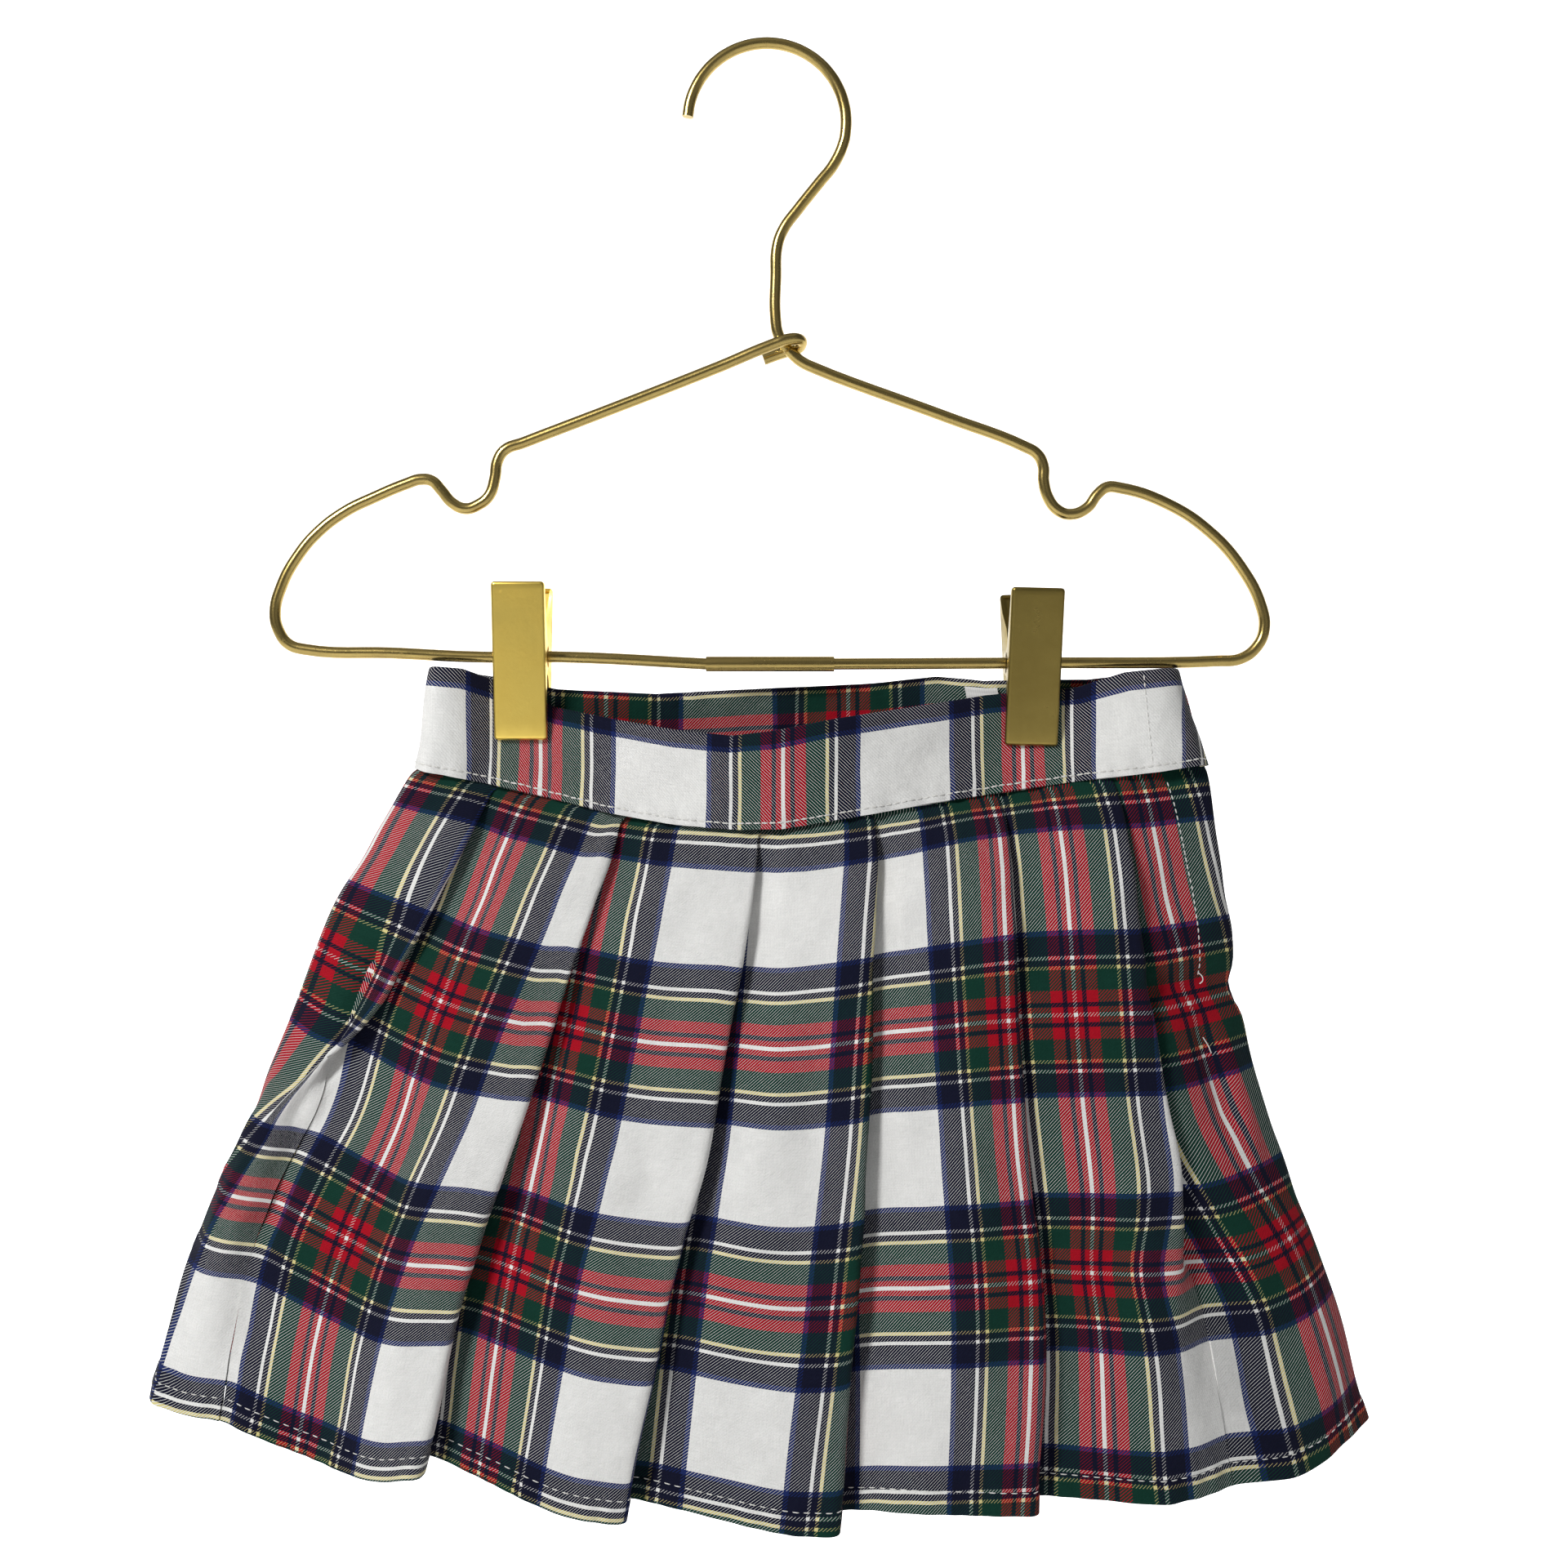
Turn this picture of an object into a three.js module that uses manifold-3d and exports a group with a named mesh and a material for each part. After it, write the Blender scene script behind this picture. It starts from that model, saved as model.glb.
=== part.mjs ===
// A child's knife-pleated tartan skirt, held by its waistband in the two spring clips of a wire hanger.
// Millimetres, +Z up, +X to the right of someone facing the skirt, the front faces -Y.
// The origin is the underside of the hook's top, where a rail carries it.
import * as THREE from 'three';
import Module from 'manifold-3d';
import { mergeVertices } from 'three/addons/utils/BufferGeometryUtils.js';

const wasm = await Module();
wasm.setup();

// ---------------------------------------------------------------- driving dimensions
const SEAM_GAP = 0.3; // clearance between pieces that meet

const WIRE = { radius: 1.75, sides: 8, stepsPerSpan: 2, tipLength: 0.6, tipSize: 0.55 };
const HOOK = { centreX: -1, centreZ: -22.05, radius: 23.8, tipAngle: 176, endAngle: -8, steps: 16 };
const SLEEVE = { left: -18.4, right: 18.4, z: -184.5, radius: 2.3 };
const BAR = { leftEndZ: -182.4, rightEndZ: -184.2 };

const CLIP = {
  width: 15.8, length: 46.6, sheet: 0.9,
  above: 21.6, // how much of the plate stands above the bar
  topSpread: 12.4, jawSpread: 4.7, // half distance between the outer faces
  flange: 2.2, flangeEnd: 6, flangeRise: 1, jawLip: 9, // side flanges, and the bare lip of the jaw
  earReach: 2.9, earShoulder: 1.4, earHole: 2.1, earInset: 1.3, earUnder: 5.5, earOver: 4.6,
  springRadius: 3.6, bore: 2.25,
  bossLength: 2.9, bossNear: 3.3, bossFar: 2.6, bossTaper: 1.8,
  flatSides: 6, roundSides: 12,
};
const CLIPS = [
  { side: 'left', x: -74.3, z: BAR.leftEndZ, roll: 0 },
  { side: 'right', x: 78.5, z: BAR.rightEndZ, roll: -1.5 },
];

const BAND = { wall: 2, depth: 28.5, rows: 4, columns: 36, seamGap: 0.6, sideSeam: 0.012 };
const PINCH = { left: -74.3, right: 78.5, halfWidth: 8.8, half: 1.8, straight: 13, fade: 48 };
const LOBES = { // how far the band bows out between its pinched places
  front: { leftEnd: 5, middle: 11, rightEnd: 6.5 },
  back: { leftEnd: 4.5, middle: 7, rightEnd: 6 },
  endScale: 2.9, endRound: 3, roundness: 1.3,
};
const TAPE = { from: 63.3, to: 73.5, drop: 2.5, width: 18, wall: 0.9, rows: 3, columns: 4 };

const CLOTH = {
  wall: 1, rows: [0, 0.11, 0.27, 0.46, 0.65, 0.84, 1],
  standOff: 1.6, standOffRise: 6, // the pleats start clear of each other between front and back
  leastDrop: 0.45, // the least share of its length that the cloth falls
};
const LEVELS = [0, 50, 100, 150]; // cloth depth below the waist seam where the fold tables are read
const HEM_LEVEL = 204; // and the cloth depth of their last values
const DEPTH = {
  frontTop: 12, frontHem: 44, backTop: 9, backHem: 27,
  leftSharpness: 0.8, rightSharpness: 0.62, // how square the plan is on each side of the front
  leftEarly: 1.15, rightEarly: 0.5, // how soon the front swells below the band
};

// Width of the flattened tube at the same cloth depths, and at the hem.
const SIDES = {
  left: [-106, -131, -149, -167.5, -186.5],
  right: [130.5, 136, 146.4, 162.8, 179.6],
};

// One row per front fold, left to right: x of the fold edge at each level and at the hem, the depth
// of the hidden underfold at waist, middle and hem, the half thickness of the layers at the hem, and
// the shares of the length between which the fold opens into a wave, or null where it stays closed.
const FRONT_FOLDS = [
  { x: [-82, -103.6, -128.5, -151.5, -160.5], lap: [12, 8, 4], rise: 4.5, opens: [0.34, 0.57] },
  { x: [-43.5, -58.7, -73.5, -89.3, -101.5], lap: [23, 17, 5], rise: 5, opens: null },
  { x: [-3.1, -10.9, -19.7, -32.1, -43.7], lap: [24, 19, 11], rise: 5, opens: null },
  { x: [30.6, 27.9, 25.9, 22.1, 16.4], lap: [24, 18, 8], rise: 4.5, opens: null },
  { x: [67.9, 69, 71, 75.3, 72], lap: [25, 24, 22], rise: 4, opens: null },
  { x: [101.4, 105.4, 112.6, 123, 131.5], lap: [14, 13, 5], rise: 4, opens: [0.5, 0.8] },
];
// The same for the back, in the order that the cloth goes on round: right to left.
const BACK_FOLDS = [
  { x: [94, 101, 110, 121, 131], lap: [14, 12, 7], rise: 4.5, opens: null },
  { x: [60, 63, 68, 74, 80], lap: [23, 18, 11], rise: 4.5, opens: null },
  { x: [25, 24, 25, 26, 29], lap: [23, 19, 12], rise: 5, opens: null },
  { x: [-11, -15, -18, -22, -24], lap: [23, 19, 13], rise: 4.5, opens: null },
  { x: [-47, -55, -62, -70, -76], lap: [23, 17, 10], rise: 4.5, opens: null },
  { x: [-81, -95, -107, -120, -131], lap: [15, 13, 7], rise: 4.5, opens: null },
];
const FOLD = { topRise: 1.9, nose: 0.6, reach: 3, reachShare: 0.3, tilt: 0.4 };
const PANEL = { // the cloth between two folds: where it leaves one and rises to the next
  leave: 0.15, leaveDrop: 0.9, leaveOpen: 20,
  lead: 0.1, leadRise: 0.85, leadOpen: 2.5,
  last: 0.2, lastDrop: 0.7, lastOpen: 14,
};
// An opened fold is a wave with the seam at its middle: its steps and height at the waist and at the hem.
const WAVE = { steps: 7, seamAt: 5.5, topStep: 1.2, hemStep: 2.6, topHeight: 5.4, hemHeight: 2 };

// Length of cloth from the waist seam to the hem, across the front and across the back.
const HEM_FRONT = [
  { x: -186, length: 198 }, { x: -160, length: 199 }, { x: -130, length: 203 },
  { x: -110, length: 197 }, { x: -99.5, length: 192 }, { x: -70, length: 195 },
  { x: -41.5, length: 194.5 }, { x: -25, length: 194 }, { x: 0, length: 198.5 },
  { x: 19, length: 200 }, { x: 45, length: 198 }, { x: 76.5, length: 202.5 },
  { x: 105, length: 205 }, { x: 131, length: 206 }, { x: 157, length: 209 },
  { x: 168, length: 205 }, { x: 179, length: 198 },
];
const HEM_BACK = [
  { x: -186, length: 202 }, { x: -60, length: 204 }, { x: 60, length: 204 },
  { x: 150, length: 203 }, { x: 179, length: 199 },
];

// Heights of the front band's top edge and of the waist seam, across its width.
const FRONT_EDGE = [
  { x: -105, top: -185.5, seam: -214.9 }, { x: -95, top: -186.2, seam: -217 },
  { x: -84, top: -189.9, seam: -219.5 }, { x: -66, top: -197.5, seam: -223.9 },
  { x: -48, top: -201, seam: -228.2 }, { x: -28, top: -204.4, seam: -231.5 },
  { x: -10, top: -206.3, seam: -232.9 }, { x: 3, top: -204.9, seam: -232.6 },
  { x: 22, top: -201.3, seam: -229.6 }, { x: 45, top: -197.9, seam: -225.8 },
  { x: 70, top: -194, seam: -222 }, { x: 88, top: -192.3, seam: -219.5 },
  { x: 99, top: -191.6, seam: -218 }, { x: 113, top: -187.4, seam: -216 },
  { x: 126, top: -186.2, seam: -214.1 },
];
const BACK_EDGE = [
  { x: -105, top: -185.5, seam: -214.9 }, { x: -84, top: -188.5, seam: -217.5 },
  { x: -66, top: -192, seam: -220.5 }, { x: -35, top: -193.2, seam: -221.8 },
  { x: 0, top: -191.4, seam: -220 }, { x: 35, top: -190, seam: -218.5 },
  { x: 55, top: -188, seam: -217.2 }, { x: 70, top: -189.4, seam: -217.5 },
  { x: 103, top: -189, seam: -217.5 }, { x: 126, top: -186.2, seam: -214.1 },
];
const BAND_SIDES = { leftTop: -101, leftSeam: -105, rightTop: 121, rightSeam: 130 };

const LEFT_ARM = [ // from the left clip round the shoulder and up to its wrap on the neck
  [-74.6, 0, -182.4], [-87, 0, -182.4], [-113, 0, -181.2], [-139.6, 0, -180.1], [-144.3, 0, -178.6],
  [-147.2, 0, -174.9], [-148.5, 0, -169.3], [-146.5, 0, -161], [-141.9, 0, -152.4], [-135.7, 0, -145],
  [-127.4, 0, -138.7], [-118.8, 0, -134.5], [-108.8, 0, -130.3], [-104.9, 0, -129.1], [-101.4, 0, -129.6],
  [-98.7, 0, -132.3], [-95.3, 0, -136.2], [-91.4, 0, -137.9], [-87.5, 0, -136.7],
  [-84.3, 0, -134], [-82.6, 0, -128.9], [-81.8, 0, -123.7], [-79.6, 0, -120.3], [-74, 0, -118.1],
  [-15.4, -2.8, -96], [0.5, -3.9, -89.6], [5.6, -3.8, -87.9], [8.7, -2.1, -87.6], [9.4, 0.4, -88.3],
  [8, 2.9, -89.4], [4, 4.1, -90.2], [-2, 4.1, -92.3],
];
const RIGHT_ARM = [ // from the neck out along the shoulder and back under it to the right clip
  [5.8, 0, -90.6], [9.1, 0, -93.6], [14, 0, -96], [53.2, 0, -110.5], [76.4, 0, -119.3],
  [80.2, 0, -121.6], [81.9, 0, -125], [82.1, 0, -129.9], [83.5, 0, -134.8], [86.4, 0, -138.4],
  [90.2, 0, -139.6], [95, 0, -137.7], [98.2, 0, -133.6], [101, 0, -131.5], [104.6, 0, -131.6],
  [119.3, 0, -136.5], [131.6, 0, -144.6], [141.4, 0, -155.6], [147.5, 0, -167.8], [148.2, 0, -174],
  [146.3, 0, -178.9], [141.4, 0, -182.8], [134, 0, -183.6], [78.8, 0, -184.2],
];
const STEM = [ // from the end of the hook's round down to the neck
  [22.1, 0, -27.9], [19.1, 0, -34.6], [14.9, 0, -39.9], [8.2, 0, -48.3], [4.2, 0, -53.7],
  [2.2, 0, -58.8], [1.7, 0, -68.6], [1.6, 0, -80.4], [2.6, 0, -86], [5.5, 0, -90.3],
];

// ---------------------------------------------------------------- materials
function finish(color, roughness, metalness) {
  return new THREE.MeshStandardMaterial({ color, roughness, metalness });
}
const GOLD = finish(0xb8a05a, 0.38, 0.9);
const CLIP_GOLD = finish(0xd0b056, 0.42, 0.85);
const BAND_CLOTH = finish(0xb9bcc0, 0.9, 0);
const SKIRT_CLOTH = finish(0x5a5f63, 0.9, 0);
const ELASTIC = finish(0xecebe6, 0.85, 0);

// ---------------------------------------------------------------- small helpers
const mix = (a, b, t) => a + (b - a) * t;
const clamp = (value, low, high) => Math.min(high, Math.max(low, value));
const smooth = (t) => {
  const c = clamp(t, 0, 1);
  return c * c * (3 - 2 * c);
};

// Reads one column of a table at a place between its rows.
function readTable(rows, key, x) {
  const last = rows.length - 1;
  if (x <= rows[0].x) return rows[0][key];
  if (x >= rows[last].x) return rows[last][key];
  const i = rows.findIndex((row) => row.x >= x);
  return mix(rows[i - 1][key], rows[i][key], (x - rows[i - 1].x) / (rows[i].x - rows[i - 1].x));
}

// Reads five values that stand at LEVELS and at the hem, for a cloth depth v of a length.
function readLevels(values, v, length) {
  const stops = [...LEVELS, length];
  const i = clamp(stops.findIndex((stop) => stop >= v - 1e-9), 1, stops.length - 1);
  return mix(values[i - 1], values[i], clamp((v - stops[i - 1]) / (stops[i] - stops[i - 1]), 0, 1));
}

// Three values at waist, middle and hem, joined by straight runs.
function readShare(values, f) {
  const [waist, middle, hem] = values;
  return f < 0.5 ? mix(waist, middle, f * 2) : mix(middle, hem, f * 2 - 1);
}

// Cuts the corners of an open run of points once and keeps its two ends.
function roundCorners(points) {
  const last = points.length - 1;
  const between = (i, t) => points[i].map((value, k) => mix(value, points[i + 1][k], t));
  const out = [points[0]];
  for (let i = 0; i < last; i += 1) {
    if (i > 0) out.push(between(i, 0.25));
    if (i < last - 1) out.push(between(i, 0.75));
  }
  out.push(points[last]);
  return out;
}

function meshFrom(vertices, triangles) {
  const geometry = new THREE.BufferGeometry();
  geometry.setAttribute('position', new THREE.Float32BufferAttribute(vertices.flat(), 3));
  geometry.setIndex(triangles.flat());
  geometry.computeVertexNormals();
  return geometry;
}

// ---------------------------------------------------------------- wire
// A round wire through a run of points, its section carried along without twist, its ends closed.
function sweepWire(points, radius, roundStart) {
  const curve = new THREE.CatmullRomCurve3(points.map((p) => new THREE.Vector3(...p)), false, 'centripetal');
  const count = (points.length - 1) * WIRE.stepsPerSpan;
  const path = curve.getPoints(count);
  let normal = new THREE.Vector3(0, 1, 0);
  const vertices = [];
  const triangles = [];
  const ring = (centre, tangent, size) => {
    normal = normal.clone().addScaledVector(tangent, -normal.dot(tangent)).normalize();
    const side = new THREE.Vector3().crossVectors(tangent, normal);
    for (let k = 0; k < WIRE.sides; k += 1) {
      const turn = (2 * Math.PI * k) / WIRE.sides;
      const spoke = normal.clone().multiplyScalar(Math.cos(turn)).addScaledVector(side, Math.sin(turn));
      vertices.push(centre.clone().addScaledVector(spoke, size).toArray());
    }
  };
  const tangents = path.map((p, i) => new THREE.Vector3()
    .subVectors(path[Math.min(i + 1, count)], path[Math.max(i - 1, 0)]).normalize());
  if (roundStart) {
    const nose = path[0].clone().addScaledVector(tangents[0], -radius * WIRE.tipLength);
    ring(nose, tangents[0], radius * WIRE.tipSize);
  }
  path.forEach((p, i) => ring(p, tangents[i], radius));
  const rings = vertices.length / WIRE.sides;
  for (let i = 0; i < rings - 1; i += 1) {
    for (let k = 0; k < WIRE.sides; k += 1) {
      const a = i * WIRE.sides + k;
      const b = i * WIRE.sides + ((k + 1) % WIRE.sides);
      triangles.push([a, b, b + WIRE.sides], [a, b + WIRE.sides, a + WIRE.sides]);
    }
  }
  const lastRing = (rings - 1) * WIRE.sides;
  for (let k = 1; k < WIRE.sides - 1; k += 1) {
    triangles.push([0, k + 1, k], [lastRing, lastRing + k, lastRing + k + 1]);
  }
  return meshFrom(vertices, triangles);
}

function hookGeometry() {
  const points = [];
  for (let i = 0; i <= HOOK.steps; i += 1) {
    const turn = THREE.MathUtils.degToRad(mix(HOOK.tipAngle, HOOK.endAngle, i / HOOK.steps));
    points.push([HOOK.centreX + HOOK.radius * Math.cos(turn), 0, HOOK.centreZ + HOOK.radius * Math.sin(turn)]);
  }
  return sweepWire([...points, ...STEM], WIRE.radius, true);
}

// ---------------------------------------------------------------- clips
const toSolid = (geometry) => {
  const bare = geometry.clone();
  bare.deleteAttribute('normal');
  bare.deleteAttribute('uv');
  const merged = mergeVertices(bare, 1e-4);
  return new wasm.Manifold(new wasm.Mesh({
    numProp: 3,
    vertProperties: Float32Array.from(merged.attributes.position.array),
    triVerts: Uint32Array.from(merged.index.array),
  }));
};
const fromSolid = (solid) => {
  const { vertProperties, triVerts } = solid.getMesh();
  const geometry = new THREE.BufferGeometry();
  geometry.setAttribute('position', new THREE.BufferAttribute(Float32Array.from(vertProperties), 3));
  geometry.setIndex([...triVerts]);
  geometry.computeVertexNormals();
  return geometry;
};

// One lever: a plate with two side flanges that widen to ears round the bar. It is drawn upright with
// the bar along X through the origin, the plate in front at -Y, and leans with its top outwards.
function leverGeometry(inset) {
  const top = CLIP.above;
  const bottom = CLIP.above - CLIP.length;
  const lip = bottom + CLIP.jawLip;
  const end = top - CLIP.flangeEnd;
  const outerAt = (z) => mix(CLIP.jawSpread, CLIP.topSpread, (z - bottom) / CLIP.length);
  const web = new THREE.Shape([
    new THREE.Vector2(-outerAt(top), top), new THREE.Vector2(-outerAt(bottom), bottom),
    new THREE.Vector2(-outerAt(bottom) + CLIP.sheet, bottom),
    new THREE.Vector2(-outerAt(top) + CLIP.sheet, top),
  ]);
  const flange = new THREE.Shape();
  flange.moveTo(-outerAt(top), top);
  flange.lineTo(-outerAt(bottom), bottom);
  flange.lineTo(-outerAt(bottom) + CLIP.sheet, bottom);
  flange.lineTo(-outerAt(lip) + CLIP.flange, lip);
  flange.lineTo(-CLIP.earReach - CLIP.earShoulder, -CLIP.earUnder);
  flange.absarc(0, 0, CLIP.earReach, -Math.PI / 2, Math.PI / 2, false);
  flange.lineTo(-CLIP.earReach, CLIP.earOver);
  flange.lineTo(-outerAt(end) + CLIP.flange + CLIP.flangeRise, end);
  flange.lineTo(-outerAt(top) + CLIP.flange, top);
  flange.closePath();
  const hole = new THREE.Path();
  hole.absarc(0, 0, CLIP.earHole, 0, 2 * Math.PI, true);
  flange.holes.push(hole);
  // A profile drawn in (y, z) is extruded along x.
  const alongX = (shape, from, to) => {
    const settings = { depth: to - from, bevelEnabled: false, curveSegments: CLIP.flatSides };
    const body = new THREE.ExtrudeGeometry(shape, settings);
    const turn = new THREE.Matrix4().makeBasis(
      new THREE.Vector3(0, 1, 0), new THREE.Vector3(0, 0, 1), new THREE.Vector3(1, 0, 0));
    return body.applyMatrix4(turn).translate(from, 0, 0);
  };
  const half = CLIP.width / 2;
  let solid = toSolid(alongX(web, -half, half));
  for (const side of [-1, 1]) {
    const far = side * (half - inset);
    const near = side * (half - inset - CLIP.sheet);
    solid = solid.add(toSolid(alongX(flange, Math.min(far, near), Math.max(far, near))));
  }
  return fromSolid(solid);
}

function lathedAlongX(profile, from) {
  const geometry = new THREE.LatheGeometry(profile.map(([r, x]) => new THREE.Vector2(r, x)), CLIP.roundSides);
  return geometry.rotateZ(-Math.PI / 2).translate(from, 0, 0);
}

function addClip(group, clip) {
  const add = (name, geometry, turnZ) => {
    const mesh = new THREE.Mesh(geometry, CLIP_GOLD);
    mesh.name = `clip_${clip.side}_${name}`;
    mesh.position.set(clip.x, 0, clip.z);
    mesh.rotation.set(0, THREE.MathUtils.degToRad(-clip.roll), turnZ);
    group.add(mesh);
  };
  add('front', leverGeometry(0), 0);
  add('back', leverGeometry(CLIP.earInset), Math.PI);
  const inner = CLIP.bore;
  const springHalf = CLIP.width / 2 - CLIP.earInset - CLIP.sheet - SEAM_GAP;
  const coil = [[inner, 0], [CLIP.springRadius, 0], [CLIP.springRadius, 2 * springHalf],
    [inner, 2 * springHalf], [inner, 0]];
  add('spring', lathedAlongX(coil, -springHalf), 0);
  const boss = [[inner, 0], [CLIP.bossNear, 0], [CLIP.bossFar, CLIP.bossTaper],
    [CLIP.bossFar, CLIP.bossLength], [inner, CLIP.bossLength], [inner, 0]];
  const bossFrom = CLIP.width / 2 + SEAM_GAP;
  add('boss_right', lathedAlongX(boss, bossFrom), 0);
  add('boss_left', lathedAlongX(boss, bossFrom), Math.PI);
}

// ---------------------------------------------------------------- the flattened tube of cloth
// Its round is measured by q: 0 at the left side, 1 at the right side over the front, 2 back at the left.
const across = (q) => (1 - Math.cos(Math.PI * q)) / 2;
const isFront = (q) => q >= 0 && q <= 1;
const qOfX = (x, left, right, front) => {
  const q = Math.acos(clamp(1 - (2 * (x - left)) / (right - left), -1, 1)) / Math.PI;
  return front ? q : 2 - q;
};

// Half depth near the waistband: three lobes between the round ends and the two clips.
function lobeDepth(x, left, right, front) {
  const sizes = front ? LOBES.front : LOBES.back;
  const leftClip = PINCH.left - PINCH.halfWidth;
  const rightClip = PINCH.right + PINCH.halfWidth;
  const fromEnd = clamp(Math.min(x - left, right - x), 0, LOBES.endRound);
  const base = PINCH.half * Math.sqrt(fromEnd / LOBES.endRound);
  // Round at its outer end and soft where it reaches the clip.
  const endLobe = (share) => {
    const t = clamp(share, 0, 1);
    return LOBES.endScale * Math.sqrt(t) * (1 - t) ** LOBES.roundness;
  };
  if (x < leftClip) return base + sizes.leftEnd * endLobe((x - left) / (leftClip - left));
  if (x > rightClip) return base + sizes.rightEnd * endLobe((right - x) / (right - rightClip));
  const span = PINCH.right - PINCH.left - 2 * PINCH.halfWidth;
  const t = clamp((x - PINCH.left - PINCH.halfWidth) / span, 0, 1);
  return base + sizes.middle * Math.sin(Math.PI * t) ** LOBES.roundness;
}

// Half depth of the tube at a distance below the band's top edge.
function tubeDepth(q, x, left, right, below, archHeight) {
  const rightShare = isFront(q) ? across(q) : 0;
  const sharpness = mix(DEPTH.leftSharpness, DEPTH.rightSharpness, rightShare);
  const arch = archHeight * Math.abs(Math.sin(Math.PI * q)) ** sharpness;
  return mix(lobeDepth(x, left, right, isFront(q)), arch, smooth((below - PINCH.straight) / PINCH.fade));
}

// A point of the smooth tube below the waist seam, at share f of the cloth's length.
function skirtGround(q, f) {
  const front = isFront(q);
  const hemX = mix(SIDES.left[4], SIDES.right[4], across(q));
  const length = readTable(front ? HEM_FRONT : HEM_BACK, 'length', hemX);
  const at = (v) => {
    const left = readLevels(SIDES.left, v, length);
    const right = readLevels(SIDES.right, v, length);
    const x = mix(left, right, across(q));
    const archTop = front ? DEPTH.frontTop : DEPTH.backTop;
    const archHem = front ? DEPTH.frontHem : DEPTH.backHem;
    const early = front ? mix(DEPTH.leftEarly, DEPTH.rightEarly, across(q)) : 1;
    const archHeight = mix(archTop, archHem, (v / length) ** early);
    const depth = tubeDepth(q, x, left, right, BAND.depth + v, archHeight);
    const standOff = CLOTH.standOff * smooth(Math.abs(Math.sin(Math.PI * q)) * CLOTH.standOffRise);
    return { x, y: (front ? -1 : 1) * (depth + standOff) };
  };
  const v = f * length;
  const start = at(0);
  const here = at(v);
  const seamX = mix(BAND_SIDES.leftSeam, BAND_SIDES.rightSeam, across(q));
  const seam = readTable(front ? FRONT_EDGE : BACK_EDGE, 'seam', seamX);
  const run = (here.x - start.x) ** 2 + (here.y - start.y) ** 2;
  const drop = Math.sqrt(Math.max(v * v - run, (CLOTH.leastDrop * v) ** 2));
  return new THREE.Vector3(here.x, here.y, seam - BAND.seamGap - drop);
}

// The point n outside the tube at q. Layers that stand out hang a little lower at the hem.
function skirtPoint(q, n, f) {
  const turn = 0.004;
  const whole = (value) => (value + 2) % 2;
  const before = skirtGround(whole(q - turn), f);
  const after = skirtGround(whole(q + turn), f);
  const tx = after.x - before.x;
  const ty = after.y - before.y;
  const size = Math.hypot(tx, ty);
  const point = skirtGround(whole(q), f);
  return [point.x + (ty / size) * n, point.y - (tx / size) * n, point.z - FOLD.tilt * n * f * f];
}

// The eight points that turn a fold edge and its hidden inner fold, and the two that lead to it. Places
// are measured along the cloth's way round from the fold edge, heights in layer steps.
function foldPoints(fold, f, length) {
  const v = f * length;
  const edge = readLevels(fold.x, v, length);
  const lap = readShare(fold.lap, f);
  const step = mix(FOLD.topRise, fold.rise, f);
  const reach = Math.min(FOLD.reach, lap * FOLD.reachShare);
  const nose = step * FOLD.nose;
  const closed = [
    [-reach, 1], [nose, 1], [nose, 0], [-reach, 0],
    [reach - lap, 0], [-lap - nose, 0], [-lap - nose, -1], [reach - lap, -1],
  ];
  const open = fold.opens ? smooth((f - fold.opens[0]) / (fold.opens[1] - fold.opens[0])) : 0;
  const pace = mix(WAVE.topStep, WAVE.hemStep, f);
  const swell = mix(WAVE.topHeight, WAVE.hemHeight, f);
  const points = closed.map(([along, height], i) => [
    mix(along, pace * (i - WAVE.seamAt), open),
    mix(height * step, Math.cos((Math.PI * i) / WAVE.steps) * swell, open),
  ]);
  return { edge, lap, step, open, points, reach: pace * WAVE.seamAt };
}

// All the points of the round at share f, from the left side over the front and back again.
function roundPoints(f) {
  const points = [];
  const run = (folds, front) => {
    const way = front ? 1 : -1;
    const left = readLevels(SIDES.left, f * HEM_LEVEL, HEM_LEVEL);
    const right = readLevels(SIDES.right, f * HEM_LEVEL, HEM_LEVEL);
    const read = folds.map((fold) => foldPoints(fold, f, HEM_LEVEL));
    const start = front ? left : right;
    const end = front ? right : left;
    read.forEach((fold, i) => {
      const previous = i ? read[i - 1].edge : start;
      const gap = Math.abs(fold.edge - previous);
      if (i) {
        const leave = gap * PANEL.leave + read[i - 1].open * PANEL.leaveOpen;
        points.push({ x: previous + way * leave, n: -PANEL.leaveDrop * read[i - 1].step, front });
      }
      const lead = mix(fold.lap, fold.reach + PANEL.leadOpen, fold.open) + gap * PANEL.lead;
      points.push({ x: fold.edge - way * lead, n: PANEL.leadRise * fold.step, front });
      fold.points.forEach(([along, n], k) => {
        points.push({ x: fold.edge + way * along, n, front, name: `${front ? 'front' : 'back'}${i}_${k}` });
      });
    });
    const last = read[read.length - 1];
    const leave = Math.abs(end - last.edge) * PANEL.last + last.open * PANEL.lastOpen;
    points.push({ x: last.edge + way * leave, n: -PANEL.lastDrop * last.step, front });
    return { left, right };
  };
  const side = (name, q) => points.push({ name, q, n: 0 });
  side('left_near', 0.02);
  side('left_front', 0.05);
  const { left, right } = run(FRONT_FOLDS, true);
  side('right_front', 0.955);
  side('right_near', 0.98);
  side('right', 1);
  side('right_back', 1.02);
  side('right_far', 1.05);
  run(BACK_FOLDS, false);
  side('left_back', 1.95);
  side('left_far', 1.98);
  side('left', 2);
  points.forEach((point) => {
    if (point.q === undefined) point.q = qOfX(point.x, left, right, point.front);
  });
  return points;
}

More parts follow.
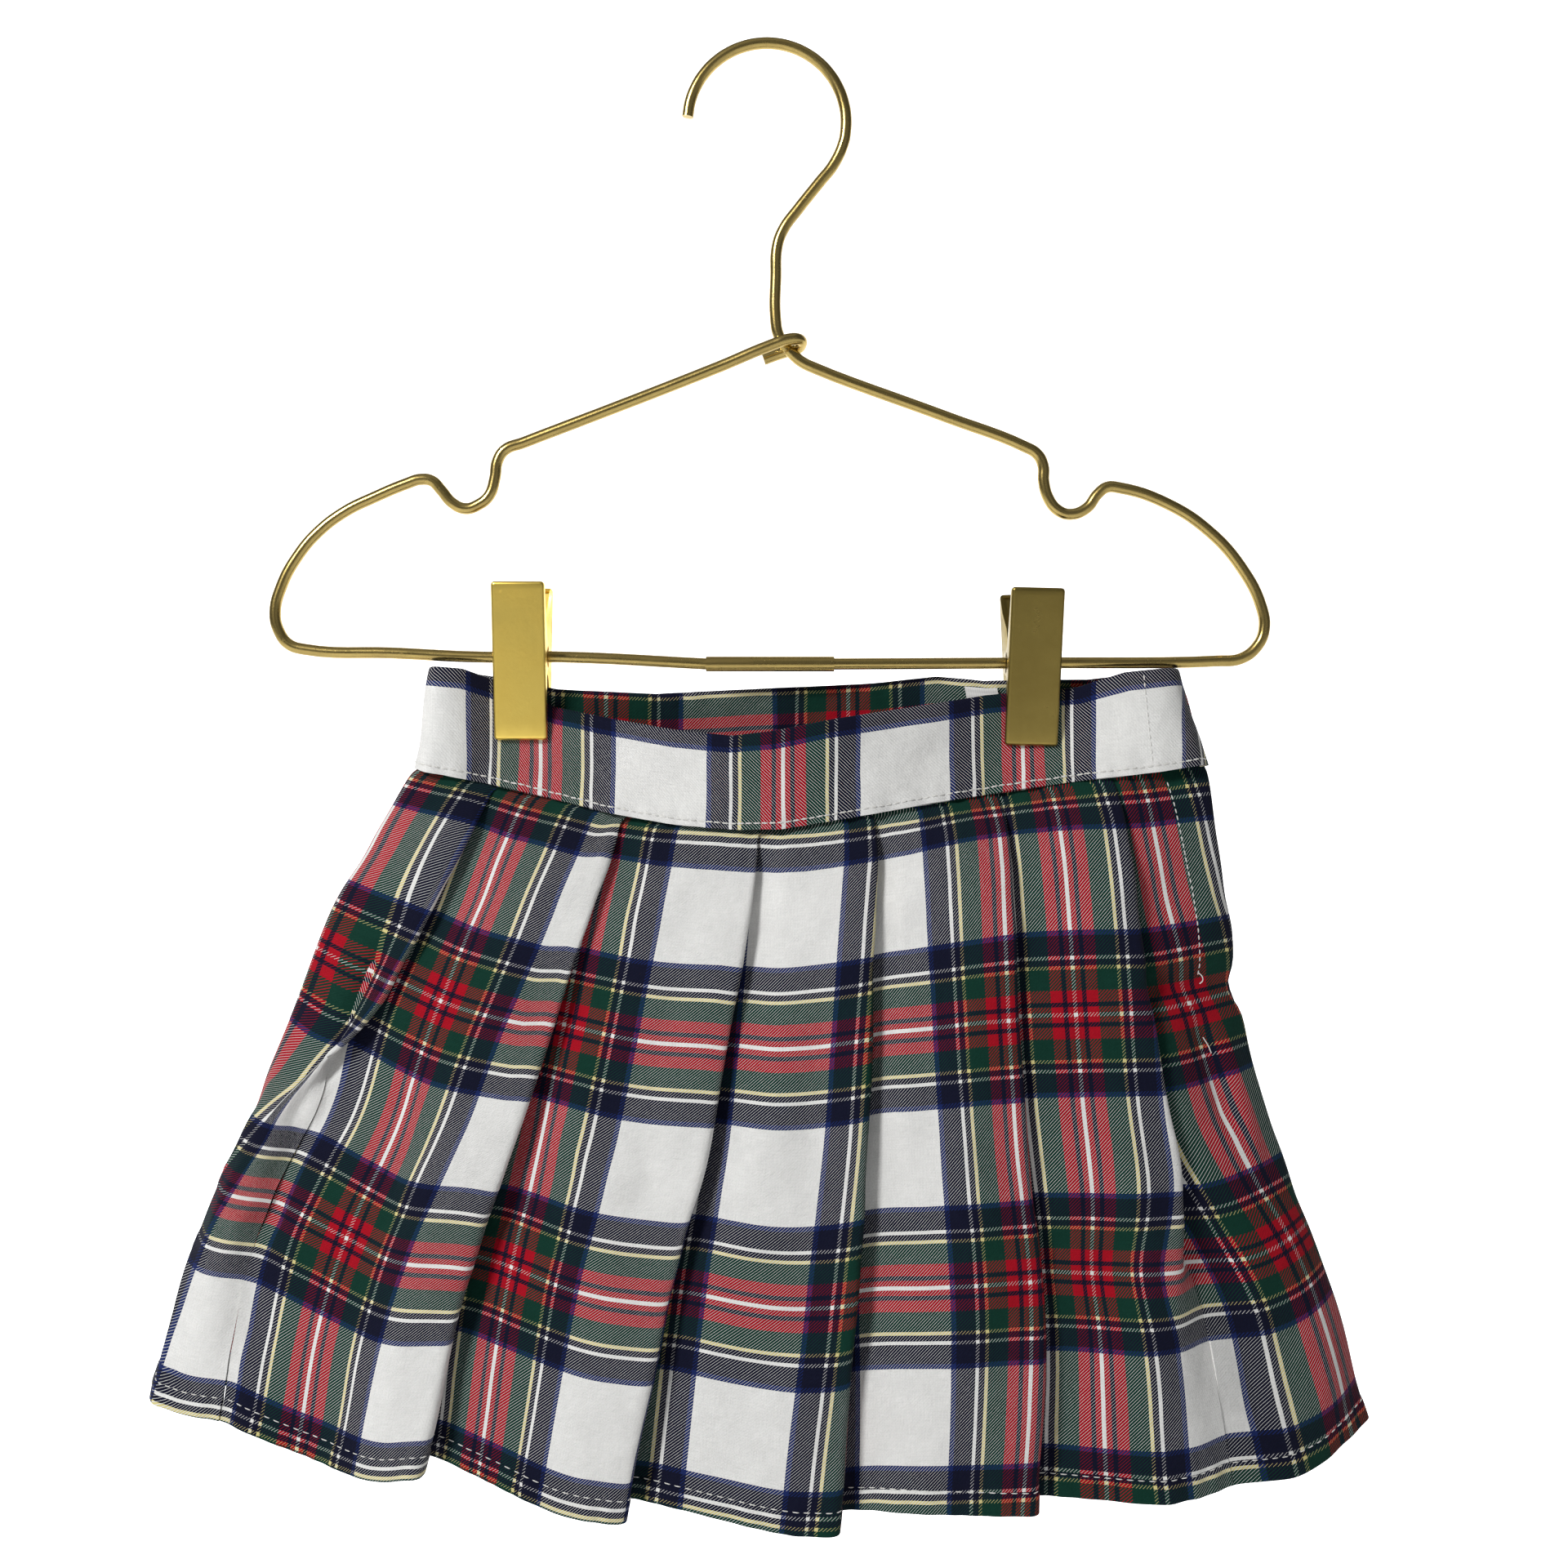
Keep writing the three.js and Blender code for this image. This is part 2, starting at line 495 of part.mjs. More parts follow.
// The run of points between two named ones. A seam in an inner fold ends halfway round the fold.
function pieceRow(f, from, to) {
  const all = roundPoints(f);
  const find = (name) => all.findIndex((point) => point.name === name);
  const halfway = (a, b, toward) => {
    const pa = skirtPoint(a.q, a.n, f);
    const pb = skirtPoint(b.q, b.n, f);
    const size = Math.hypot(...pa.map((value, k) => pb[k] - value));
    const t = 0.5 + (toward * SEAM_GAP) / 2 / size;
    return pa.map((value, k) => mix(value, pb[k], t));
  };
  const loop = [];
  const first = find(from);
  for (let i = first; ; i = (i + 1) % all.length) {
    loop.push(all[i]);
    if (all[i].name === to) break;
  }
  const middle = loop.slice(1, -1).map((point) => skirtPoint(point.q, point.n, f));
  const head = halfway(loop[0], loop[1], 1);
  const tail = halfway(loop[loop.length - 2], loop[loop.length - 1], -1);
  return roundCorners([head, ...middle, tail]);
}

// A wall with rows of points down its middle, offset half its thickness to each side in plan. At a
// bend it is offset a little further, so that its thickness holds, up to a limit.
const BEND = { leastCosine: 0.3, mostStretch: 1.25 };
function wallGeometry(rows, thickness) {
  const columns = rows[0].length;
  const vertices = [];
  for (const side of [1, -1]) {
    for (const row of rows) {
      row.forEach((point, j) => {
        const before = row[Math.max(j - 1, 0)];
        const after = row[Math.min(j + 1, columns - 1)];
        const a = new THREE.Vector2(point[0] - before[0], point[1] - before[1]);
        const b = new THREE.Vector2(after[0] - point[0], after[1] - point[1]);
        if (j === 0) a.copy(b);
        if (j === columns - 1) b.copy(a);
        a.normalize();
        b.normalize();
        const tangent = a.clone().add(b).normalize();
        const stretch = Math.min(1 / Math.max(tangent.dot(a), BEND.leastCosine), BEND.mostStretch);
        const out = (side * thickness * stretch) / 2;
        vertices.push([point[0] + tangent.y * out, point[1] - tangent.x * out, point[2]]);
      });
    }
  }
  const triangles = [];
  const inner = rows.length * columns;
  const at = (i, j, side) => side * inner + i * columns + j;
  const quad = (a, b, c, d) => triangles.push([a, b, c], [a, c, d]);
  for (let i = 0; i < rows.length - 1; i += 1) {
    for (let j = 0; j < columns - 1; j += 1) {
      quad(at(i + 1, j, 0), at(i + 1, j + 1, 0), at(i, j + 1, 0), at(i, j, 0));
      quad(at(i, j, 1), at(i, j + 1, 1), at(i + 1, j + 1, 1), at(i + 1, j, 1));
    }
  }
  const bottom = rows.length - 1;
  for (let j = 0; j < columns - 1; j += 1) {
    quad(at(0, j, 0), at(0, j + 1, 0), at(0, j + 1, 1), at(0, j, 1));
    quad(at(bottom, j, 1), at(bottom, j + 1, 1), at(bottom, j + 1, 0), at(bottom, j, 0));
  }
  const end = columns - 1;
  for (let i = 0; i < bottom; i += 1) {
    quad(at(i + 1, 0, 1), at(i + 1, 0, 0), at(i, 0, 0), at(i, 0, 1));
    quad(at(i, end, 0), at(i + 1, end, 0), at(i + 1, end, 1), at(i, end, 1));
  }
  return meshFrom(vertices, triangles);
}

// ---------------------------------------------------------------- waistband
// A point of the band's middle surface at q, a share g of its depth below the top edge.
function bandPoint(q, g, inward) {
  const front = isFront(q);
  const left = mix(BAND_SIDES.leftTop, BAND_SIDES.leftSeam, g);
  const right = mix(BAND_SIDES.rightTop, BAND_SIDES.rightSeam, g);
  const x = mix(left, right, across(q));
  const seamX = mix(BAND_SIDES.leftSeam, BAND_SIDES.rightSeam, across(q));
  const table = front ? FRONT_EDGE : BACK_EDGE;
  const z = mix(readTable(table, 'top', seamX), readTable(table, 'seam', seamX), g);
  const archHeight = front ? DEPTH.frontTop : DEPTH.backTop;
  const depth = tubeDepth(q, x, left, right, g * BAND.depth, archHeight) - inward;
  return [x, front ? -depth : depth, z];
}

function bandGeometry(from, to) {
  const rows = [];
  for (let i = 0; i < BAND.rows; i += 1) {
    const row = [];
    for (let j = 0; j <= BAND.columns; j += 1) {
      row.push(bandPoint(mix(from, to, j / BAND.columns), i / (BAND.rows - 1), 0));
    }
    rows.push(row);
  }
  return wallGeometry(rows, BAND.wall);
}

// The elastic lies against the inside of the back band.
function tapeGeometry() {
  const rows = [];
  const inward = BAND.wall / 2 + SEAM_GAP + TAPE.wall / 2;
  for (let i = 0; i <= TAPE.rows; i += 1) {
    const row = [];
    for (let j = 0; j <= TAPE.columns; j += 1) {
      const x = mix(TAPE.to, TAPE.from, j / TAPE.columns);
      const q = qOfX(x, BAND_SIDES.leftSeam, BAND_SIDES.rightSeam, false);
      row.push(bandPoint(q, (TAPE.drop + (TAPE.width * i) / TAPE.rows) / BAND.depth, inward));
    }
    rows.push(row);
  }
  return wallGeometry(rows, TAPE.wall);
}

// ---------------------------------------------------------------- assembly
const skirt = new THREE.Group();
const add = (name, geometry, material) => {
  const mesh = new THREE.Mesh(geometry, material);
  mesh.name = name;
  skirt.add(mesh);
};

add('hanger_hook', hookGeometry(), GOLD);
add('hanger_arm_right', sweepWire(RIGHT_ARM, WIRE.radius, false), GOLD);
add('hanger_arm_left', sweepWire(LEFT_ARM, WIRE.radius, false), GOLD);
add('hanger_bar_left', sweepWire([
  [CLIPS[0].x, 0, BAR.leftEndZ], [CLIPS[0].x + 12, 0, BAR.leftEndZ], [SLEEVE.left - SEAM_GAP, 0, SLEEVE.z],
], WIRE.radius, false), GOLD);
add('hanger_bar_right', sweepWire(
  [[SLEEVE.right + SEAM_GAP, 0, SLEEVE.z], [CLIPS[1].x, 0, BAR.rightEndZ]], WIRE.radius, false), GOLD);
add('hanger_sleeve', sweepWire(
  [[SLEEVE.left, 0, SLEEVE.z], [SLEEVE.right, 0, SLEEVE.z]], SLEEVE.radius, false), GOLD);
CLIPS.forEach((clip) => addClip(skirt, clip));

add('waistband_front', bandGeometry(BAND.sideSeam, 1 - BAND.sideSeam), BAND_CLOTH);
add('waistband_back', bandGeometry(1 + BAND.sideSeam, 2 - BAND.sideSeam), BAND_CLOTH);
add('adjuster_elastic', tapeGeometry(), ELASTIC);

const pieces = [
  { name: 'skirt_front', from: 'front0_5', to: 'front5_6' },
  { name: 'skirt_side_right', from: 'front5_5', to: 'right_back' },
  { name: 'skirt_back', from: 'right', to: 'back5_6' },
  { name: 'skirt_side_left', from: 'back5_5', to: 'front0_6' },
];
for (const { name, from, to } of pieces) {
  const rows = CLOTH.rows.map((f) => pieceRow(f, from, to));
  add(name, wallGeometry(rows, CLOTH.wall), SKIRT_CLOTH);
}

export default skirt;
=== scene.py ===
# A child's knife-pleated tartan skirt, held by its waistband in the two clips of a gilt wire hanger.
# The scene is in metres. Tables of the cloth and the wire are in millimetres and pass through mm.
# +X is to the right of someone who faces the skirt, its front faces -Y, and +Z is up.
import math
import bpy
import numpy as np
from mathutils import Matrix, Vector


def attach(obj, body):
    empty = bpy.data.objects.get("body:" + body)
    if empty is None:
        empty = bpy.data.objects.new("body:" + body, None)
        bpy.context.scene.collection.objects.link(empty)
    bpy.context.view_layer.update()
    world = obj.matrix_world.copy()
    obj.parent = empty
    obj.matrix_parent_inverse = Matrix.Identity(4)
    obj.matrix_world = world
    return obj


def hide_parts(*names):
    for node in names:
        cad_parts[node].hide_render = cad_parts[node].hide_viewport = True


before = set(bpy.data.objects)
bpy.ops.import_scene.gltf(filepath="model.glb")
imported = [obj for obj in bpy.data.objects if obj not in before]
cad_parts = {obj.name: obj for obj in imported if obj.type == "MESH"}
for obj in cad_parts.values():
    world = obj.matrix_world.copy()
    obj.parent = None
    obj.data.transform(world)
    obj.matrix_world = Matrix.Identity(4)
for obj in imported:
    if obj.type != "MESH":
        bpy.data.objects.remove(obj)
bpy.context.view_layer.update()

mm = 0.001
bpy.ops.object.select_all(action="DESELECT")


# Camera

cameraView = {"x": 4.165, "y": -600, "z": -220.5, "halfWidth": 235.2}


def placeCamera():
    view = cameraView
    place = (view["x"] * mm, view["y"] * mm, view["z"] * mm)
    bpy.ops.object.camera_add(location=place, rotation=(math.radians(90), 0, 0))
    camera = bpy.context.object
    camera.name = "camera"
    camera.data.sensor_fit = "HORIZONTAL"
    camera.data.angle = 2 * math.atan(view["halfWidth"] / -view["y"])
    camera.data.clip_start = 0.01
    bpy.context.scene.camera = camera


placeCamera()
print("camera placed")


# Small helpers

def mix(a, b, t):
    return a + (b - a) * t


def smooth(t):
    t = np.clip(t, 0, 1)
    return t * t * (3 - 2 * t)


def readSmooth(places, values, x):
    # A curve through a short table, rounded where the table turns.
    places = np.asarray(places, float)
    values = np.asarray(values, float)
    x = np.clip(x, places[0], places[-1])
    slopes = np.gradient(values, places)
    i = np.clip(np.searchsorted(places, x, side="right") - 1, 0, len(places) - 2)
    span = places[i + 1] - places[i]
    t = (x - places[i]) / span
    start = values[i] * (1 + 2 * t) * (1 - t) ** 2 + slopes[i] * span * t * (1 - t) ** 2
    return start + values[i + 1] * t * t * (3 - 2 * t) + slopes[i + 1] * span * t * t * (t - 1)


def meshObject(name, points, faces, cornerMap=None):
    # Points in millimetres. cornerMap has one (u, v) for each point.
    mesh = bpy.data.meshes.new(name)
    mesh.from_pydata((np.asarray(points, float) * mm).tolist(), [], faces)
    if cornerMap is not None:
        layer = mesh.uv_layers.new(name="cloth")
        corners = np.empty(len(mesh.loops), dtype=np.int64)
        mesh.loops.foreach_get("vertex_index", corners)
        layer.data.foreach_set("uv", np.asarray(cornerMap, np.float32)[corners].ravel())
    mesh.update()
    piece = bpy.data.objects.new(name, mesh)
    bpy.context.collection.objects.link(piece)
    return piece


def pick(piece):
    bpy.ops.object.select_all(action="DESELECT")
    piece.select_set(True)
    bpy.context.view_layer.objects.active = piece


def choose(piece, kind, test):
    # Selects the faces, edges or vertices that pass a test, and nothing else, and goes into edit mode.
    pick(piece)
    mesh = piece.data
    for part in (*mesh.vertices, *mesh.edges, *mesh.polygons):
        part.select = False
    bpy.context.tool_settings.mesh_select_mode = (kind == "VERT", kind == "EDGE", kind == "FACE")
    for part in {"EDGE": mesh.edges, "FACE": mesh.polygons, "VERT": mesh.vertices}[kind]:
        part.select = test(part)
    bpy.ops.object.mode_set(mode="EDIT")


def settle(piece, angle=40):
    # Applies the place, the turn and the size, and shades the piece.
    pick(piece)
    bpy.ops.object.transform_apply(location=True, rotation=True, scale=True)
    bpy.ops.object.shade_smooth_by_angle(angle=math.radians(angle))


def give(piece, material, slot, *nodes):
    piece.data.materials.clear()
    piece.data.materials.append(material)
    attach(piece, "root")
    if nodes:
        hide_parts(*nodes)


# Materials

yarn = 0.2364  # millimetres from one yarn to the next
mapScale = 100  # yarns in one unit of the cloth map

tartan = {
    "half": 155,  # yarns from the middle of the white block to the middle of the red one
    "sett": [  # the yarn at which each colour starts, from the middle of the white block
        (0, "white"), (57.5, "blue"), (63.5, "navy"), (86.5, "white"), (90.5, "navy"), (98, "yellow"),
        (102, "green"), (126, "red"), (140, "navy"), (145.5, "red"), (152, "white"),
    ],
    "colours": {
        "white": (0.76, 0.755, 0.735), "blue": (0.009, 0.02, 0.105), "navy": (0.004, 0.005, 0.019),
        "yellow": (0.66, 0.58, 0.25), "green": (0.003, 0.034, 0.022), "red": (0.37, 0.003, 0.013),
    },
    "wale": 4,  # yarns from one diagonal of the twill to the next
    # The last value is how dark the painted shade between neighbouring floats goes.
    "cover": 3.4, "mostCover": 0.7, "floatGapShade": 0.34,
}


class NodeBoard:
    # Adds nodes to a material and links them, so that a finish reads as a short recipe.
    def __init__(self, name):
        self.material = bpy.data.materials.new(name)
        self.material.use_nodes = True
        self.tree = self.material.node_tree
        self.shader = self.tree.nodes["Principled BSDF"]

    def put(self, kind, inputs=None, **settings):
        node = self.tree.nodes.new(kind)
        for key, value in settings.items():
            setattr(node, key, value)
        for key, value in (inputs or {}).items():
            self.feed(node.inputs[key], value)
        return node

    def feed(self, socket, value):
        if isinstance(value, bpy.types.NodeSocket):
            self.tree.links.new(value, socket)
        else:
            socket.default_value = value

    def sum(self, operation, a, b=0.0, clamp=False):
        return self.put("ShaderNodeMath", {0: a, 1: b}, operation=operation, use_clamp=clamp).outputs[0]

    def blend(self, share, a, b, kind="MIX"):
        node = self.put("ShaderNodeMix", data_type="RGBA", blend_type=kind)
        self.feed(node.inputs[0], share)
        self.feed(node.inputs[6], a)
        self.feed(node.inputs[7], b)
        return node.outputs[2]

    def noise(self, place, scale, detail=2.0, roughness=0.5):
        inputs = {"Vector": place, "Scale": scale, "Detail": detail, "Roughness": roughness}
        return self.put("ShaderNodeTexNoise", inputs).outputs["Fac"]

    def range(self, value, low, high, newLow, newHigh):
        inputs = {"Value": value, "From Min": low, "From Max": high, "To Min": newLow, "To Max": newHigh}
        return self.put("ShaderNodeMapRange", inputs).outputs["Result"]

    def grey(self, value):
        return self.put("ShaderNodeCombineColor", {0: value, 1: value, 2: value}).outputs[0]

    def bump(self, height, distance, strength=1.0):
        inputs = {"Height": height, "Distance": distance, "Strength": strength}
        self.feed(self.shader.inputs["Normal"], self.put("ShaderNodeBump", inputs).outputs["Normal"])

    def set(self, **values):
        for key, value in values.items():
            self.feed(self.shader.inputs[key.replace("_", " ")], value)


def tartanCloth(name, lean):
    # lean is 1 where the twill rises to the right and -1 where it rises to the left.
    board = NodeBoard(name)
    place = board.put("ShaderNodeUVMap", uv_map="cloth").outputs["UV"]
    split = board.put("ShaderNodeSeparateXYZ", {0: place})
    wander = board.noise(place, 0.9, 3.0)
    warp = board.sum("MULTIPLY", split.outputs["X"], mapScale)
    weft = board.sum("MULTIPLY", split.outputs["Y"], mapScale)
    warp = board.sum("ADD", warp, board.range(wander, 0, 1, -1.2, 1.2))
    weft = board.sum("ADD", weft, board.range(wander, 0, 1, 1.4, -1.4))

    def settColour(count):
        half = tartan["half"]
        folded = board.sum("DIVIDE", board.sum("PINGPONG", count, half), half)
        node = board.put("ShaderNodeValToRGB", {0: folded})
        ramp = node.color_ramp
        ramp.interpolation = "CONSTANT"
        for i, (start, colour) in enumerate(tartan["sett"]):
            stop = ramp.elements[i] if i < 1 else ramp.elements.new(start / half)
            stop.position = start / half
            stop.color = (*tartan["colours"][colour], 1)
        ramp.elements.remove(ramp.elements[-1])
        return node.outputs["Color"]

    diagonal = board.sum("ADD", warp, board.sum("MULTIPLY", weft, lean))
    wave = board.sum("PINGPONG", diagonal, tartan["wale"] / 2)
    # Dark yarns cover more of the cloth than light ones, so the lighter float is the narrower.
    warpColour = settColour(warp)
    weftColour = settColour(weft)
    warpLight = board.sum("POWER", board.put("ShaderNodeRGBToBW", {0: warpColour}).outputs[0], 0.5)
    weftLight = board.sum("POWER", board.put("ShaderNodeRGBToBW", {0: weftColour}).outputs[0], 0.5)
    lighter = board.sum("MULTIPLY", board.sum("SUBTRACT", weftLight, warpLight), tartan["cover"])
    most = tartan["mostCover"]
    lighter = board.put("ShaderNodeClamp", {0: lighter, 1: -most, 2: most}).outputs[0]
    over = board.sum("ADD", board.sum("SUBTRACT", wave, 1.0), lighter)
    over = board.sum("ADD", board.sum("MULTIPLY", over, 4.0), 0.5, clamp=True)
    # Painted shade: the colour is darkened where one float meets the next, and less so where the colour is
    # pale.
    edge = board.sum("MULTIPLY", board.sum("ABSOLUTE", board.sum("SUBTRACT", over, 0.5)), 2.0)
    colour = board.blend(over, weftColour, warpColour)
    pale = board.range(board.put("ShaderNodeRGBToBW", {0: colour}).outputs[0], 0.1, 0.7, 0, 1)
    floatGapShade = board.range(edge, 0, 1, tartan["floatGapShade"], 1)
    floatGapShade = board.sum("MAXIMUM", floatGapShade, board.sum("MULTIPLY", pale, 0.9))
    colour = board.blend(1.0, colour, board.grey(floatGapShade), "MULTIPLY")

    # Slubs run along each yarn, and the whole cloth is a little uneven.
    warpSlub = board.put("ShaderNodeCombineXYZ", {"X": warp, "Y": board.sum("MULTIPLY", weft, 0.06)})
    weftSlub = board.put("ShaderNodeCombineXYZ", {"X": board.sum("MULTIPLY", warp, 0.06), "Y": weft})
    slub = board.put("ShaderNodeMix", {0: over})
    board.feed(slub.inputs[2], board.noise(weftSlub.outputs[0], 0.9, 1.0))
    board.feed(slub.inputs[3], board.noise(warpSlub.outputs[0], 0.9, 1.0))
    slubs = slub.outputs[0]
    cloud = board.noise(place, 2.4, 4.0, 0.6)
    shade = board.sum("MULTIPLY", board.range(slubs, 0.25, 0.75, 0.86, 1.08),
                      board.range(cloud, 0.3, 0.7, 0.95, 1.03))
    colour = board.blend(1.0, colour, board.grey(shade), "MULTIPLY")

    ridge = board.sum("ADD", board.sum("MULTIPLY", wave, 0.35), slubs)
    fuzz = board.noise(place, 60.0, 2.0)
    crumple = board.noise(place, 2.6, 5.0, 0.62)
    relief = board.sum("ADD", ridge, board.sum("MULTIPLY", fuzz, 0.5))
    board.bump(board.sum("ADD", relief, board.sum("MULTIPLY", crumple, 10.0)), 0.00009, 0.8)
    board.set(Base_Color=colour, Roughness=board.range(slubs, 0.2, 0.8, 0.95, 0.82))
    board.set(Specular_IOR_Level=0.12, Sheen_Weight=0.03, Sheen_Roughness=0.5)
    return board.material


def goldFinish(name, colour, dark, roughness):
    # Satin gilt lacquer over steel: faint mottling, tiny scuffs, and a fine grain in the gloss.
    board = NodeBoard(name)
    place = board.put("ShaderNodeTexCoord").outputs["Object"]
    cloud = board.noise(place, 90.0, 4.0, 0.6)
    speck = board.range(board.noise(place, 900.0, 2.0, 0.7), 0.69, 0.74, 0.0, 1.0)
    tone = board.blend(board.range(cloud, 0.35, 0.7, 0.0, 0.55), (*colour, 1), (*dark, 1))
    tone = board.blend(board.sum("MULTIPLY", speck, 0.3), tone, (*dark, 1))
    grain = board.noise(place, 1600.0, 2.0)
    board.bump(board.sum("ADD", grain, board.sum("MULTIPLY", cloud, 2.0)), 0.00003, 0.5)
    board.set(Base_Color=tone, Metallic=1.0)
    board.set(Roughness=board.sum("ADD", board.range(cloud, 0.3, 0.7, roughness - 0.04, roughness + 0.05),
                                  board.sum("MULTIPLY", speck, 0.2)))
    return board.material


def threadFinish(name, colour):
    board = NodeBoard(name)
    place = board.put("ShaderNodeTexCoord").outputs["Object"]
    strand = board.noise(place, 2600.0, 2.0)
    darker = tuple(c * 0.6 for c in colour) + (1,)
    tone = board.blend(board.range(strand, 0.3, 0.7, 0.0, 0.6), (*colour, 1), darker)
    board.bump(strand, 0.00005, 0.6)
    board.set(Base_Color=tone, Roughness=0.8, Specular_IOR_Level=0.3)
    return board.material


def elasticFinish(name):
    # Knitted tape: fine ribs along its length and small crosswise loops.
    board = NodeBoard(name)
    place = board.put("ShaderNodeUVMap", uv_map="cloth").outputs["UV"]
    split = board.put("ShaderNodeSeparateXYZ", {0: place})
    loops = board.sum("PINGPONG", split.outputs["X"], 0.35)
    fuzz = board.noise(place, 4.0, 2.0)
    tone = board.blend(board.range(loops, 0, 0.35, 0.35, 0), (0.80, 0.79, 0.77, 1), (0.52, 0.52, 0.53, 1))
    board.bump(board.sum("ADD", board.sum("MULTIPLY", loops, 2.0), fuzz), 0.0001, 0.7)
    board.set(Base_Color=tone, Roughness=0.85, Specular_IOR_Level=0.25)
    return board.material


skirtCloth = tartanCloth("skirtCloth", 1)
bandCloth = tartanCloth("bandCloth", -1)
wireGold = goldFinish("wireGold", (0.55, 0.41, 0.14), (0.36, 0.26, 0.09), 0.26)
# One gilt in two colours: the left clip's is painted brighter as a painted highlight, and the right clip's is
# painted darker as painted shade.
clipGoldLitAndShaded = {
    "left": goldFinish("clipGoldPaintedLitLeft", (1.0, 0.74, 0.17), (0.86, 0.60, 0.12), 0.34),
    "right": goldFinish("clipGoldPaintedShadeRight", (0.36, 0.27, 0.075), (0.26, 0.19, 0.05), 0.3),
}
steelGrey = goldFinish("springSteel", (0.46, 0.43, 0.36), (0.30, 0.28, 0.24), 0.35)
whiteThread = threadFinish("whiteThread", (0.78, 0.77, 0.74))
whiteElastic = elasticFinish("whiteElastic")
print("materials made")


# The form of the tube of cloth

band = {
    "wall": 2.0, "depth": 28.5, "sideSeam": 0.012,
    "leftTop": -101, "leftSeam": -105, "rightTop": 121, "rightSeam": 130,
    # x, top edge and waist seam of the front
    "front": [
        (-105, -185.5, -214.9), (-95, -186.2, -217), (-84, -189.9, -219.5), (-66, -197.5, -223.9),
        (-48, -201, -228.2), (-28, -204.4, -231.5), (-10, -206.3, -232.9), (3, -204.9, -232.6),
        (22, -201.3, -229.6), (45, -197.9, -225.8), (70, -194, -222), (88, -192.3, -219.5),
        (99, -191.6, -218), (113, -187.4, -216), (126, -186.2, -214.1),
    ],
    "back": [
        (-105, -185.5, -214.9), (-84, -188.5, -217.5), (-66, -192, -220.5), (-35, -193.2, -221.8),
        (0, -191.4, -220), (35, -190, -218.5), (55, -188, -217.2), (70, -189.4, -217.5),
        (103, -189, -217.5), (126, -186.2, -214.1),
    ],
}
pinch = {"left": -74.3, "right": 78.5, "halfWidth": 8.8, "half": 1.8, "straight": 13, "fade": 48}
lobes = {
    "front": {"leftEnd": 5, "middle": 11, "rightEnd": 6.5},
    "back": {"leftEnd": 4.5, "middle": 7, "rightEnd": 6},
    "endScale": 2.9, "endRound": 3, "roundness": 1.3,
}
tube = {
    "levels": [0, 50, 100, 150, 207],  # cloth depth below the seam for the tables of sides and folds
    "left": [-106, -131, -149, -167.5, -186.5], "right": [130.5, 136, 146.4, 162.8, 179.6],
    "frontTop": 12, "frontHem": 44, "backTop": 9, "backHem": 27,
    # how round the plan is and how early the tube widens, at the left and at the right of the front
    "sharpness": (0.8, 0.62), "early": (1.15, 0.5),
    "standOff": 1.6, "standOffRise": 6, "leastDrop": 0.45,
    "hemFront": [(-186, 198), (-160, 199), (-130, 203), (-110, 197), (-99.5, 192), (-70, 195), (-41.5, 194.5),
                 (-25, 194), (0, 198.5), (19, 200), (45, 198), (76.5, 202.5), (105, 205), (131, 206),
                 (157, 209),
                 (168, 205), (179, 198)],
    "hemBack": [(-186, 202), (-60, 204), (60, 204), (150, 203), (179, 199)],
}


def across(q):
    return (1 - np.cos(np.pi * q)) / 2


def isFront(q):
    return (q >= 0) & (q <= 1)


def qOfX(x, left, right, front):
    q = np.arccos(np.clip(1 - 2 * (x - left) / (right - left), -1, 1)) / np.pi
    return q if front else 2 - q


def column(rows, index):
    return [row[index] for row in rows]


def edgeHeight(q, index):
    # index 1 is the band's top edge and 2 the waist seam.
    x = mix(band["leftSeam"], band["rightSeam"], across(q))
    front = np.interp(x, column(band["front"], 0), column(band["front"], index))
    back = np.interp(x, column(band["back"], 0), column(band["back"], index))
    return np.where(isFront(q), front, back)


def lobeDepth(x, left, right, front):
    size = {key: np.where(front, lobes["front"][key], lobes["back"][key]) for key in lobes["front"]}
    leftClip = pinch["left"] - pinch["halfWidth"]
    rightClip = pinch["right"] + pinch["halfWidth"]
    fromEnd = np.clip(np.minimum(x - left, right - x), 0, lobes["endRound"])
    base = pinch["half"] * np.sqrt(fromEnd / lobes["endRound"])

    def endLobe(share):
        t = np.clip(share, 0, 1)
        return lobes["endScale"] * np.sqrt(t) * (1 - t) ** lobes["roundness"]

    span = pinch["right"] - pinch["left"] - 2 * pinch["halfWidth"]
    t = np.clip((x - pinch["left"] - pinch["halfWidth"]) / span, 0, 1)
    middle = size["middle"] * np.sin(np.pi * t) ** lobes["roundness"]
    leftLobe = size["leftEnd"] * endLobe((x - left) / (leftClip - left))
    rightLobe = size["rightEnd"] * endLobe((right - x) / (right - rightClip))
    return base + np.where(x < leftClip, leftLobe, np.where(x > rightClip, rightLobe, middle))


def tubeDepth(q, x, left, right, below, archHeight):
    sharpness = np.where(isFront(q), mix(*tube["sharpness"], across(q)), tube["sharpness"][0])
    arch = archHeight * np.abs(np.sin(np.pi * q)) ** sharpness
    fade = smooth((below - pinch["straight"]) / pinch["fade"])
    return mix(lobeDepth(x, left, right, isFront(q)), arch, fade)


def clothLength(q):
    hemX = mix(tube["left"][-1], tube["right"][-1], across(q))
    front = np.interp(hemX, column(tube["hemFront"], 0), column(tube["hemFront"], 1))
    back = np.interp(hemX, column(tube["hemBack"], 0), column(tube["hemBack"], 1))
    return np.where(isFront(q), front, back)


